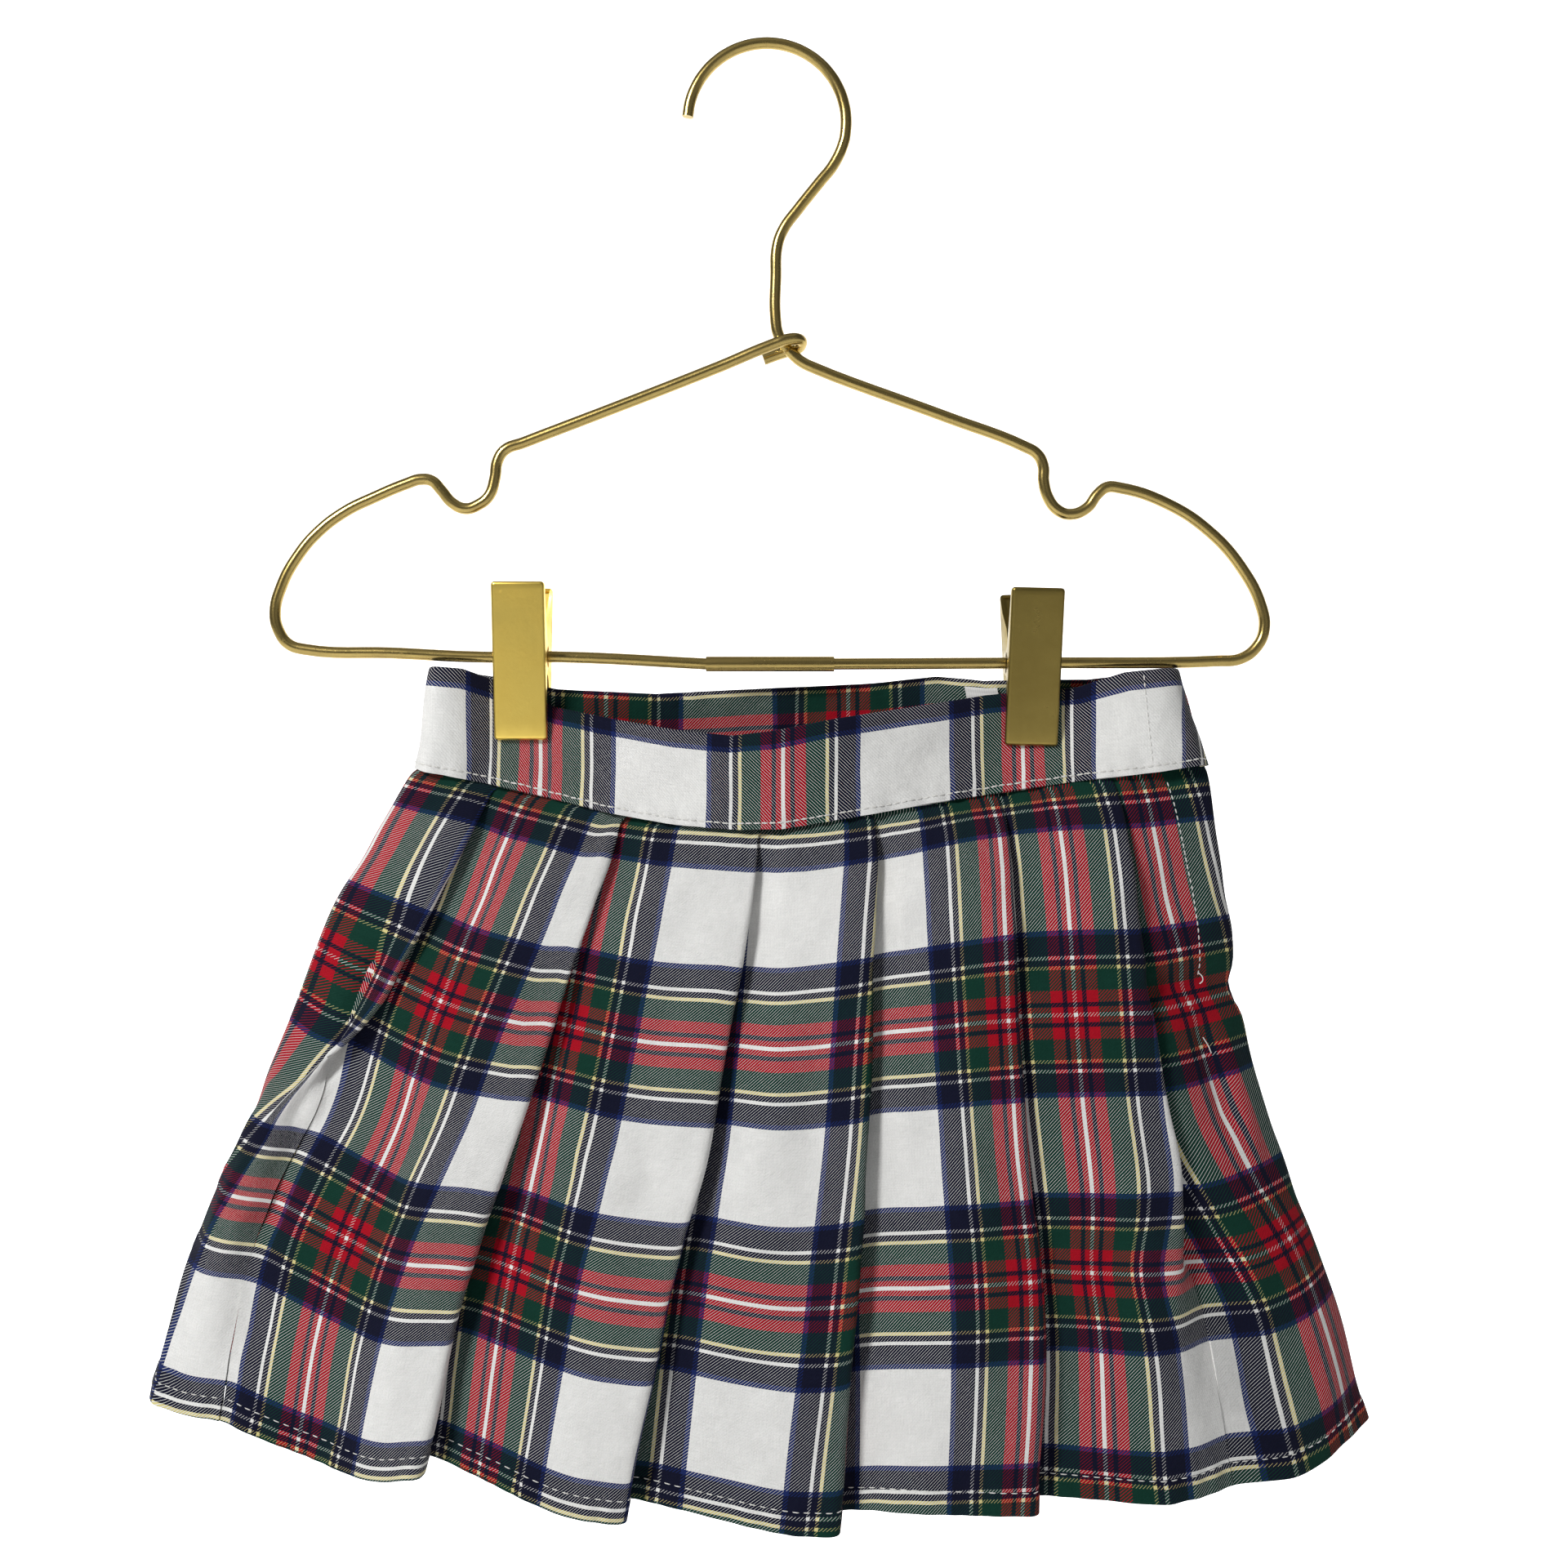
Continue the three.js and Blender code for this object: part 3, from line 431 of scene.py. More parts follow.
def skirtGround(q, f):
    # The smooth tube below the seam, at share f of the cloth's length.
    length = clothLength(q)
    front = isFront(q)

    def planAt(v):
        left = readSmooth(tube["levels"], tube["left"], v)
        right = readSmooth(tube["levels"], tube["right"], v)
        x = mix(left, right, across(q))
        archTop = np.where(front, tube["frontTop"], tube["backTop"])
        archHem = np.where(front, tube["frontHem"], tube["backHem"])
        early = np.where(front, mix(*tube["early"], across(q)), 1)
        depth = tubeDepth(q, x, left, right, band["depth"] + v, mix(archTop, archHem, (v / length) ** early))
        rise = smooth(np.abs(np.sin(np.pi * q)) * tube["standOffRise"]) * smooth(v / 14)
        return x, np.where(front, -1, 1) * (depth + tube["standOff"] * rise)

    v = f * length
    startX, startY = planAt(0 * v)
    x, y = planAt(v)
    run = (x - startX) ** 2 + (y - startY) ** 2
    drop = np.sqrt(np.maximum(v * v - run, (tube["leastDrop"] * v) ** 2))
    return np.stack([x, y, edgeHeight(q, 2) - drop], axis=-1)


def skirtPoint(q, n, f):
    turn = 0.004
    before = skirtGround((q - turn) % 2, f)
    after = skirtGround((q + turn) % 2, f)
    along = after[:, :2] - before[:, :2]
    along /= np.linalg.norm(along, axis=1, keepdims=True)
    point = skirtGround(q % 2, f)
    return point + np.stack([along[:, 1] * n, -along[:, 0] * n, -folds["tilt"] * n * f * f], axis=-1)


# Pleats

folds = {
    "topRise": 0.42, "riseWithin": 0.09, "nose": 0.6, "reach": 3, "reachShare": 0.3, "tilt": 0.4,
    "leave": 0.15, "leaveDrop": 0.9, "leaveOpen": 20, "lead": 0.1, "leadRise": 0.85, "leadOpen": 2.5,
    "last": 0.2, "lastDrop": 0.7, "lastOpen": 14, "waveStep": (1.2, 2.6), "waveHeight": (5.4, 2.0),
    # x of the fold edge at each level, its hidden depth at waist, middle and hem, how far its layers
    # stand apart at the hem, the share of the length after which it opens, and the yarn that stands at
    # the edge and where the next panel comes out, each at the waist and at the hem
    "front": [
        {"x": [-82, -103.6, -128.5, -151.5, -160.5], "lap": [12, 8, 4], "rise": 4.5,
         "opens": 0.34, "opened": 0.57,
         "edge": (247, 275, 290, 300, 310), "start": (104, 84, 60, 55, 50)},
        {"x": [-43.5, -58.7, -73.5, -89.3, -101.5], "lap": [23, 17, 5], "rise": 5, "opens": 9, "opened": 10,
         "edge": (289, 355), "start": (478, 378)},
        {"x": [-3.1, -10.9, -19.7, -32.1, -43.7], "lap": [24, 19, 11], "rise": 5, "opens": 9, "opened": 10,
         "edge": (668, 688), "start": (868, 793)},
        {"x": [30.6, 27.9, 25.9, 22.1, 16.4], "lap": [24, 18, 8], "rise": 4.5, "opens": 9, "opened": 10,
         "edge": (1026, 1062), "start": (1231, 1141)},
        {"x": [67.9, 69, 71, 75.3, 72], "lap": [25, 24, 22], "rise": 4, "opens": 9, "opened": 10,
         "edge": (1407, 1420), "start": (1625, 1609)},
        {"x": [101.4, 105.4, 112.6, 123, 131.5], "lap": [14, 13, 5], "rise": 4, "opens": 0.5, "opened": 0.8,
         "edge": (1786, 1793, 1815, 1830, 1840), "start": (113, 102, 92, 70, 50)},
    ],
    "back": [
        {"x": [94, 101, 110, 121, 131], "lap": [14, 12, 7], "rise": 4.5, "opens": 9, "opened": 10},
        {"x": [60, 63, 68, 74, 80], "lap": [23, 18, 11], "rise": 4.5, "opens": 9, "opened": 10},
        {"x": [25, 24, 25, 26, 29], "lap": [23, 19, 12], "rise": 5, "opens": 9, "opened": 10},
        {"x": [-11, -15, -18, -22, -24], "lap": [23, 19, 13], "rise": 4.5, "opens": 9, "opened": 10},
        {"x": [-47, -55, -62, -70, -76], "lap": [23, 17, 10], "rise": 4.5, "opens": 9, "opened": 10},
        {"x": [-81, -95, -107, -120, -131], "lap": [15, 13, 7], "rise": 4.5, "opens": 9, "opened": 10},
    ],
}
cloth = {
    "wall": 0.75, "topWall": 0.22, "columnStep": 1.5, "rowStep": 2.6, "tuck": 1.4, "tuckIn": 1.7,
    # x at the seam and the yarn that is sewn there, counted from the middle of a white block, then the
    # same at the hem
    "seamCount": [(-105, -122), (-48, -122), (-43, -115), (-20, -112), (-3, -111), (14, -118), (36, -122),
                  (130, -124)],
    # x at the hem and how many yarns the middle of the cloth is drawn down there
    "easing": [(-186, -14), (-161, -6), (-130, 8), (-99.5, 15), (19, 18), (179, 18)], "easedAt": 0.72,
    "hemCount": [(-186, 722), (-161, 724), (-99.5, 725), (-41.5, 725), (19, 729), (76.5, 741), (131, 740),
                 (179, 736)],
}


def openShare(row, f):
    return float(smooth((f - row["opens"]) / (row["opened"] - row["opens"])))


def roundControls(f):
    # The control points of one level, from the left side over the front and back again.
    points = []

    def side(name, q):
        points.append({"name": name, "q": q, "n": 0.0, "hidden": 0.0})

    def run(rows, front):
        way = 1 if front else -1
        name = "front" if front else "back"
        depth = f * tube["levels"][-1]
        left = readSmooth(tube["levels"], tube["left"], depth)
        right = readSmooth(tube["levels"], tube["right"], depth)
        read = []
        for row in rows:
            lap = np.interp(f, [0, 0.5, 1], row["lap"])
            step = mix(mix(1.9, row["rise"], f), folds["topRise"], 1 - smooth(f / folds["riseWithin"]))
            reach = min(folds["reach"], lap * folds["reachShare"])
            nose = step * folds["nose"]
            closed = [(-reach, 1), (nose, 1), (nose, 0), (-reach, 0), (reach - lap, 0),
                      (-lap - nose, 0), (-lap - nose, -1), (reach - lap, -1), (0, -1)]
            share = openShare(row, f)
            pace = mix(*folds["waveStep"], f)
            swell = mix(*folds["waveHeight"], f)
            wave = [(pace * (i - 5.5), math.cos(math.pi * i / 7)) for i in range(8)]
            wave.append((pace * 3.1, -0.98))
            both = [(mix(a[0], b[0], share), mix(a[1] * step, b[1] * swell, share))
                    for a, b in zip(closed, wave)]
            edge = readSmooth(tube["levels"], row["x"], depth)
            read.append({"edge": edge, "lap": lap, "step": step, "open": share, "points": both,
                         "reach": pace * 5.5})

        def put(x, n, hidden=0.0, label=None):
            q = float(qOfX(x, left, right, front))
            points.append({"name": label, "q": q, "n": n, "hidden": hidden})

        start, end = (left, right) if front else (right, left)
        for i, fold in enumerate(read):
            gap = abs(fold["edge"] - (read[i - 1]["edge"] if i else start))
            if i:
                before = read[i - 1]
                leave = gap * folds["leave"] + before["open"] * folds["leaveOpen"]
                put(before["edge"] + way * leave, -folds["leaveDrop"] * before["step"])
            lead = mix(fold["lap"], fold["reach"] + folds["leadOpen"], fold["open"]) + gap * folds["lead"]
            put(fold["edge"] - way * lead, folds["leadRise"] * fold["step"])
            for k, (along, n) in enumerate(fold["points"]):
                hidden = (1 - fold["open"]) if 2 <= k <= 7 else 0.0
                put(fold["edge"] + way * along, n, hidden, f"{name}{i}_{k}")
        last = read[-1]
        leave = abs(end - last["edge"]) * folds["last"] + last["open"] * folds["lastOpen"]
        put(last["edge"] + way * leave, -folds["lastDrop"] * last["step"])

    side("left_near", 0.02)
    side("left_front", 0.05)
    run(folds["front"], True)
    side("right_front", 0.955)
    side("right_near", 0.98)
    side("right", 1.0)
    side("right_back", 1.02)
    side("right_far", 1.05)
    run(folds["back"], False)
    side("left_back", 1.95)
    side("left_far", 1.98)
    side("left", 2.0)
    return points


def levelShares():
    # Shares of the length: close rows by the seam and by the hem, even ones between.
    length = tube["levels"][-1]
    ends = [0, 1.2, 2.6, 4.4, 6.6]
    hem = [length - above for above in (8.6, 7.4, 6.6, 6, 5.4, 4.4, 2.6, 1, 0)]
    count = round((hem[0] - ends[-1]) / cloth["rowStep"])
    between = np.linspace(ends[-1], hem[0], count + 1)[1:-1]
    return np.array([*ends, *between, *hem]) / length


shares = levelShares()
controls = [roundControls(f) for f in shares]
names = [point["name"] for point in controls[0]]
frames = np.stack([
    skirtPoint(np.array([p["q"] for p in level]), np.array([p["n"] for p in level]), f)
    for level, f in zip(controls, shares)
])
hiddenAt = np.array([[p["hidden"] for p in level] for level in controls])
qAt = np.array([[p["q"] for p in level] for level in controls])


def splineSamples():
    # Each control point rules the curve from the middle of the edge before it to the middle of the edge
    # after it. Sharp ones get at least five steps.
    count = len(names)
    sample = []
    knots = {}
    for k in range(count):
        before = (frames[:, k - 1] + frames[:, k]) / 2
        after = (frames[:, k] + frames[:, (k + 1) % count]) / 2
        size = np.linalg.norm(after - before, axis=1).max()
        sharp = names[k] is not None and names[k][-1] in "1256" and "_" in names[k]
        steps = max(math.ceil(size / cloth["columnStep"]), 5 if sharp else 2)
        knots[k] = len(sample)
        sample += [(k, j / steps) for j in range(steps)]
    return np.array([s[0] for s in sample]), np.array([s[1] for s in sample]), knots


owner, part, knots = splineSamples()


def alongSpline(values, turn=0):
    # Quadratic curve through the middles of the control edges, for all levels at once. turn is what a
    # value gains in one round.
    last = len(names) - 1
    shape = (1, -1) + (1,) * (values.ndim - 2)
    t = part.reshape(shape)
    before = values[:, (owner - 1) % len(names)] - turn * (owner == 0).reshape(shape)
    after = values[:, (owner + 1) % len(names)] + turn * (owner == last).reshape(shape)
    return before * (1 - t) ** 2 / 2 + values[:, owner] * (0.5 + t - t * t) + after * t * t / 2


loop = alongSpline(frames)
loopHidden = alongSpline(hiddenAt)
loopQ = alongSpline(qAt, turn=2)
print("cloth levels and places round", loop.shape[:2])


def knotBefore(name):
    # The sample halfway between a named control point and the one before it.
    return knots[names.index(name)]


def sampleAt(name):
    k = names.index(name)
    after = knots.get(k + 1, len(part))
    return (knots[k] + after) // 2


def clothPiece(fromName, toName, anchors):
    # Cuts one piece from the round and lays its own map of yarns on it. Each anchor has a sample, the yarn
    # that stands there, evenly from waist to hem, and the fold that lets go of it where it opens.
    total = loop.shape[1]
    first = knotBefore(fromName)
    last = knotBefore(toName)
    if last <= first:
        last += total
    take = np.arange(first, last + 1) % total
    points = loop[:, take].copy()
    runs = np.linalg.norm(np.diff(points, axis=1), axis=2)
    gone = np.concatenate([np.zeros((len(points), 1)), np.cumsum(runs, axis=1)], axis=1)
    warp = np.empty(gone.shape)
    firm = [i for i, anchor in enumerate(anchors) if anchor[2] is None]
    for i, f in enumerate(shares):
        places = np.array([gone[i, (anchor[0] - first) % total] for anchor in anchors])
        counts = np.array([np.interp(f, np.linspace(0, 1, len(anchor[1])), anchor[1]) for anchor in anchors])
        loose = np.interp(places, places[firm], counts[firm])
        free = np.array([0.0 if anchor[2] is None else openShare(anchor[2], f) for anchor in anchors])
        counts = mix(counts, loose, free)
        inner = np.interp(gone[i], places, counts)
        before = counts[0] + (gone[i] - places[0]) / yarn
        after = counts[-1] + (gone[i] - places[-1]) / yarn
        warp[i] = np.where(gone[i] < places[0], before, np.where(gone[i] > places[-1], after, inner))
    q = loopQ[:, take] % 2
    length = clothLength(q)
    seamX = mix(band["leftSeam"], band["rightSeam"], across(q))
    seamCount = np.interp(seamX, column(cloth["seamCount"], 0), column(cloth["seamCount"], 1))
    hemX = mix(tube["left"][-1], tube["right"][-1], across(q))
    hemCount = np.interp(hemX, column(cloth["hemCount"], 0), column(cloth["hemCount"], 1))
    easing = np.interp(hemX, column(cloth["easing"], 0), column(cloth["easing"], 1))
    eased = np.where(isFront(q), easing, 0) * np.sin(np.pi * shares[:, None] ** cloth["easedAt"])
    weft = mix(seamCount, hemCount, shares[:, None]) - eased
    return {"points": points, "map": np.stack([warp, weft], axis=-1), "hidden": loopHidden[:, take],
            "q": q, "depth": length * shares[:, None], "length": length}


def tableAnchors():
    # Where the front's yarns stand at its fold edges and beside them.
    rows = folds["front"]
    anchors = [(knotBefore("front0_6"), (42,), None), (sampleAt("front0_8"), rows[0]["start"], rows[0])]
    for i in range(1, 5):
        anchors.append((knotBefore(f"front{i}_2"), rows[i]["edge"], None))
        anchors.append((sampleAt(f"front{i}_8"), rows[i]["start"], None))
    anchors.append((knotBefore("front5_2"), rows[5]["edge"], rows[5]))
    anchors.append((knotBefore("front5_6"), (1855,), None))
    return anchors


def gridNormals(points):
    down = np.gradient(points, axis=0)
    along = np.gradient(points, axis=1)
    normals = np.cross(down, along)
    return normals / np.maximum(np.linalg.norm(normals, axis=2, keepdims=True), 1e-9)


# Creases and unevenness of the hanging cloth

# From x, z to x, z on one face of the skirt. Width and height are in millimetres, a trough is below 0.
creases = [
    # the roll beside the first fold and the valley it dies into
    {"from": (-116, -272), "to": (-128, -301), "width": 2.4, "height": -1.6},
    {"from": (-128, -301), "to": (-139, -318), "width": 2.6, "height": -1.3},
    {"from": (-111, -280), "to": (-134, -314), "width": 3.2, "height": 1.5},
    {"from": (-138, -322), "to": (-146, -347), "width": 5.0, "height": -2.2},
    {"from": (-146, -347), "to": (-149, -380), "width": 6.5, "height": -2.0},
    {"from": (-157, -345), "to": (-162, -385), "width": 7.0, "height": 1.4},
    # the drawn-in side under the placket
    {"from": (112, -279), "to": (146, -281), "width": 5.5, "height": -3.2},
    {"from": (126, -279), "to": (150, -281), "width": 6.5, "height": -1.8, "front": False},
    {"from": (128, -262), "to": (140, -262), "width": 8, "height": 1.2},
    {"from": (126, -292), "to": (133, -318), "width": 3.0, "height": -1.6},
    {"from": (134, -296), "to": (142, -330), "width": 3.0, "height": 1.3},
    # long soft hollows of the panels
    {"from": (-112, -262), "to": (-132, -350), "width": 7, "height": -1.0},
    {"from": (-88, -300), "to": (-108, -392), "width": 9, "height": 1.2},
    {"from": (-62, -268), "to": (-78, -360), "width": 7, "height": -1.0},
    {"from": (-44, -262), "to": (-56, -330), "width": 6, "height": 0.9},
    {"from": (-24, -255), "to": (-38, -345), "width": 7, "height": -1.0},
    {"from": (-8, -330), "to": (-18, -400), "width": 8, "height": 1.1},
    {"from": (14, -270), "to": (10, -372), "width": 8, "height": -1.1},
    {"from": (44, -262), "to": (46, -352), "width": 7, "height": -1.0},
    {"from": (57, -300), "to": (58, -392), "width": 8, "height": 0.9},
    {"from": (88, -262), "to": (94, -350), "width": 7, "height": -0.9},
    {"from": (104, -330), "to": (112, -398), "width": 8, "height": 1.3},
    {"from": (128, -346), "to": (138, -400), "width": 6, "height": -2.0},
    {"from": (150, -350), "to": (162, -400), "width": 7, "height": 1.6},
    {"from": (36, -318), "to": (60, -330), "width": 5, "height": 0.6},
    {"from": (-60, -322), "to": (-40, -334), "width": 5, "height": 0.6},
    # the back hangs much the same
    {"from": (106, -262), "to": (122, -352), "width": 7, "height": -1.2, "front": False},
    {"from": (80, -300), "to": (92, -392), "width": 8, "height": 1.1, "front": False},
    {"from": (42, -262), "to": (46, -350), "width": 7, "height": -1.0, "front": False},
    {"from": (8, -280), "to": (6, -380), "width": 8, "height": 1.0, "front": False},
    {"from": (-30, -262), "to": (-38, -352), "width": 7, "height": -1.1, "front": False},
    {"from": (-64, -300), "to": (-82, -388), "width": 8, "height": 1.2, "front": False},
    {"from": (-96, -262), "to": (-126, -356), "width": 8, "height": -1.4, "front": False},
    {"from": (-122, -310), "to": (-152, -388), "width": 8, "height": 1.5, "front": False},
    {"from": (-20, -330), "to": (14, -342), "width": 5, "height": 0.6, "front": False},
]


def creaseHeight(piece):
    # Soft troughs and ridges laid along short lines, seen from the front or from the back.
    x = piece["points"][..., 0]
    z = piece["points"][..., 2]
    front = isFront(piece["q"])
    total = np.zeros(x.shape)
    for crease in creases:
        (x0, z0), (x1, z1) = crease["from"], crease["to"]
        size = (x1 - x0) ** 2 + (z1 - z0) ** 2
        t = ((x - x0) * (x1 - x0) + (z - z0) * (z1 - z0)) / size
        aside = (x - x0) * (z1 - z0) - (z - z0) * (x1 - x0)
        aside = aside / math.sqrt(size)
        fade = smooth((t + 0.25) / 0.35) * smooth((1.25 - t) / 0.35)
        profile = np.exp(-((aside / crease["width"]) ** 2))
        total += np.where(front == crease.get("front", True), crease["height"] * profile * fade, 0)
    return total


waviness = {"height": 0.55, "puckerHeight": 0.22, "puckerDepth": 16, "stitchDip": 0.28, "hemPucker": 0.25}


def unevenness(piece):
    # Gentle waves all over, small gathers below the waist seam, and a puckered hem.
    warp, weft = piece["map"][..., 0] * yarn, piece["map"][..., 1] * yarn
    depth = piece["depth"]
    toHem = piece["length"] - depth
    wave = np.sin(warp / 7.3 + 1.7 * np.sin(weft / 23)) * np.sin(weft / 17 + 1.3 * np.sin(warp / 31) + 0.6)
    wave += 0.7 * np.sin(warp / 11.7 - weft / 13.1 + 2.1) * np.sin(warp / 19 + weft / 29)
    wave += 0.35 * np.sin(warp / 3.9 + weft / 6.1 + 2 * np.sin(weft / 15))
    grow = smooth(depth / 40)
    total = waviness["height"] * wave * mix(0.35, 1, grow)
    pucker = np.sin(warp / 0.95 + 2 * np.sin(warp / 5.1)) * (0.6 + 0.4 * np.sin(warp / 3.3))
    total += waviness["puckerHeight"] * pucker * np.exp(-depth / waviness["puckerDepth"]) * smooth(depth / 2)
    hemPucker = np.sin(warp / 1.35 + 1.6 * np.sin(warp / 6.2)) * np.exp(-((toHem - 4) / 5) ** 2)
    total += waviness["hemPucker"] * hemPucker
    total -= waviness["stitchDip"] * np.exp(-((toHem - hemStitch["above"]) / 0.5) ** 2)
    return total


hemStitch = {"above": 6.0, "hemWall": 0.55, "step": 3.1, "length": 1.9, "radius": 0.17}


def shell(name, piece, wall):
    # A thin closed wall with the grid in its middle. The first row of a piece lies under the waistband.
    points = piece["points"]
    normals = gridNormals(points)
    rows, columns = points.shape[:2]
    half = (wall / 2)[..., None]
    outer = (points + normals * half).reshape(-1, 3)
    inner = (points - normals * half).reshape(-1, 3)
    flat = piece["map"].reshape(-1, 2) / mapScale
    grid = np.arange(rows * columns).reshape(rows, columns)
    a, b = grid[:-1, :-1].ravel(), grid[:-1, 1:].ravel()
    c, d = grid[1:, 1:].ravel(), grid[1:, :-1].ravel()
    inside = rows * columns
    faces = np.concatenate([
        np.stack([a, d, c, b], axis=1),
        np.stack([a, b, c, d], axis=1) + inside,
        edgeFaces(grid[0], inside, False), edgeFaces(grid[-1], inside, True),
        edgeFaces(grid[:, 0], inside, True), edgeFaces(grid[:, -1], inside, False),
    ])
    made = meshObject(name, np.concatenate([outer, inner]), faces.tolist(), np.concatenate([flat, flat]))
    return made


def edgeFaces(line, inside, turned):
    quads = np.stack([line[:-1], line[1:], line[1:] + inside, line[:-1] + inside], axis=1)
    return quads[:, ::-1] if turned else quads


pieceEnds = {
    "skirt_front": ("front0_6", "front5_6"), "skirt_side_right": ("front5_6", "right_back"),
    "skirt_back": ("right_back", "back5_6"), "skirt_side_left": ("back5_6", "front0_6"),
}
rightFold = folds["front"][5]
leftCounts = [  # samples forward of the left side and the yarn there at each tenth of the length
    (0, (141, 143, 143, 145, 149, 153, 178, 200, 212, 225, 228)),
    (16, (181, 186, 190, 191, 180, 183, 212, 226, 232, 244, 250)),
    (24, (228, 230, 225, 212, 205, 203, 222, 236, 246, 257, 262)),
    (28, (243, 243, 238, 235, 225, 210, 231, 243, 254, 266, 270)),
    (32, (247, 250, 255, 262, 262, 255, 241, 252, 262, 275, 280)),
]
sideAnchors = {
    "skirt_side_right": [
        (knotBefore("front5_6"), (32,), None), (sampleAt("front5_8"), rightFold["start"], rightFold),
        (sampleAt("right"), (258, 256, 252, 243, 236, 231, 228, 225, 221, 218, 215), None),
    ],
    "skirt_side_left": [
        *((sampleAt("left") + step, counts, None) for step, counts in leftCounts),
        (knotBefore("front0_6"), (330,), None),
    ],
    "skirt_back": [(knotBefore("right_back"), (60,), None), (knotBefore("back5_6"), (60 + 2150,), None)],
}
surfaces = {}


def makeSkirtPiece(name):
    ends = pieceEnds[name]
    piece = clothPiece(*ends, sideAnchors.get(name) or tableAnchors())
    points = piece["points"]
    for edge, beside in ((0, 1), (-1, -2)):
        gap = 0.12 / np.linalg.norm(points[:, beside] - points[:, edge], axis=1, keepdims=True)
        points[:, edge] = mix(points[:, edge], points[:, beside], gap)
    visible = 1 - 0.85 * piece["hidden"]
    relief = (unevenness(piece) + creaseHeight(piece)) * visible
    points += gridNormals(points) * relief[..., None]
    tucked = cloth["tuckIn"] * (1 - smooth(piece["depth"] / 3.5))
    tucked *= mix(1, 0.45, smooth((np.abs(piece["points"][..., 0]) - 104) / 12))
    reach = np.maximum(np.linalg.norm(points[..., :2], axis=2), 1)
    points[..., 0] -= tucked * points[..., 0] / reach
    points[..., 1] -= tucked * points[..., 1] / reach
    points[0, :, 2] += cloth["tuck"]
    toHem = piece["length"] - piece["depth"]
    wall = mix(cloth["topWall"], cloth["wall"], smooth(piece["depth"] / 9))
    wall = wall + hemStitch["hemWall"] * smooth((hemStitch["above"] + 0.6 - toHem) / 0.9)
    surfaces[name] = {"piece": piece, "wall": wall, "normals": gridNormals(points)}
    made = shell(f"cloth_{name}", piece, wall)
    settle(made, 60)
    give(made, skirtCloth, "skirt_cloth", name)
    runs = np.linalg.norm(np.diff(points, axis=1), axis=2).sum(axis=1)
    ends = [round(float(runs[i]), 1) for i in (0, -1)]
    return made


for name in pieceEnds:
    makeSkirtPiece(name)
print("skirt cloth made")


# Waistband

bandLook = {
    "rows": 17, "columns": 230, "edgeRound": 1.0, "hem": 1.1, "lowEdge": 0.95, "dip": 0.42,
    "stitchUp": 1.9, "pucker": 0.3,
    "topPucker": 0.55, "flare": 1.3,
    # x at the front, and the yarn of the band's length that stands there
    "frontYarns": [(-105, 0), (-90.7, 57.5), (-75, 126), (-68.4, 155), (-45.5, 252.5), (-18.4, 367.5),
                   (3.9, 465),
                   (26.5, 562.5), (53, 677.5), (75.5, 775), (97.2, 872.5), (121.5, 987.5), (132, 1050)],
    "frontTop": -79.5, "frontSlope": 0.95, "backTop": 93, "backWhite": -12.9,
}


def bandPoint(q, g):
    left = mix(band["leftTop"], band["leftSeam"], g)
    right = mix(band["rightTop"], band["rightSeam"], g)
    x = mix(left, right, across(q))
    z = mix(edgeHeight(q, 1), edgeHeight(q, 2), g)
    archHeight = np.where(isFront(q), tube["frontTop"], tube["backTop"])
    depth = tubeDepth(q, x, left, right, g * band["depth"], archHeight)
    return np.stack([x, np.where(isFront(q), -1, 1) * depth, z], axis=-1)


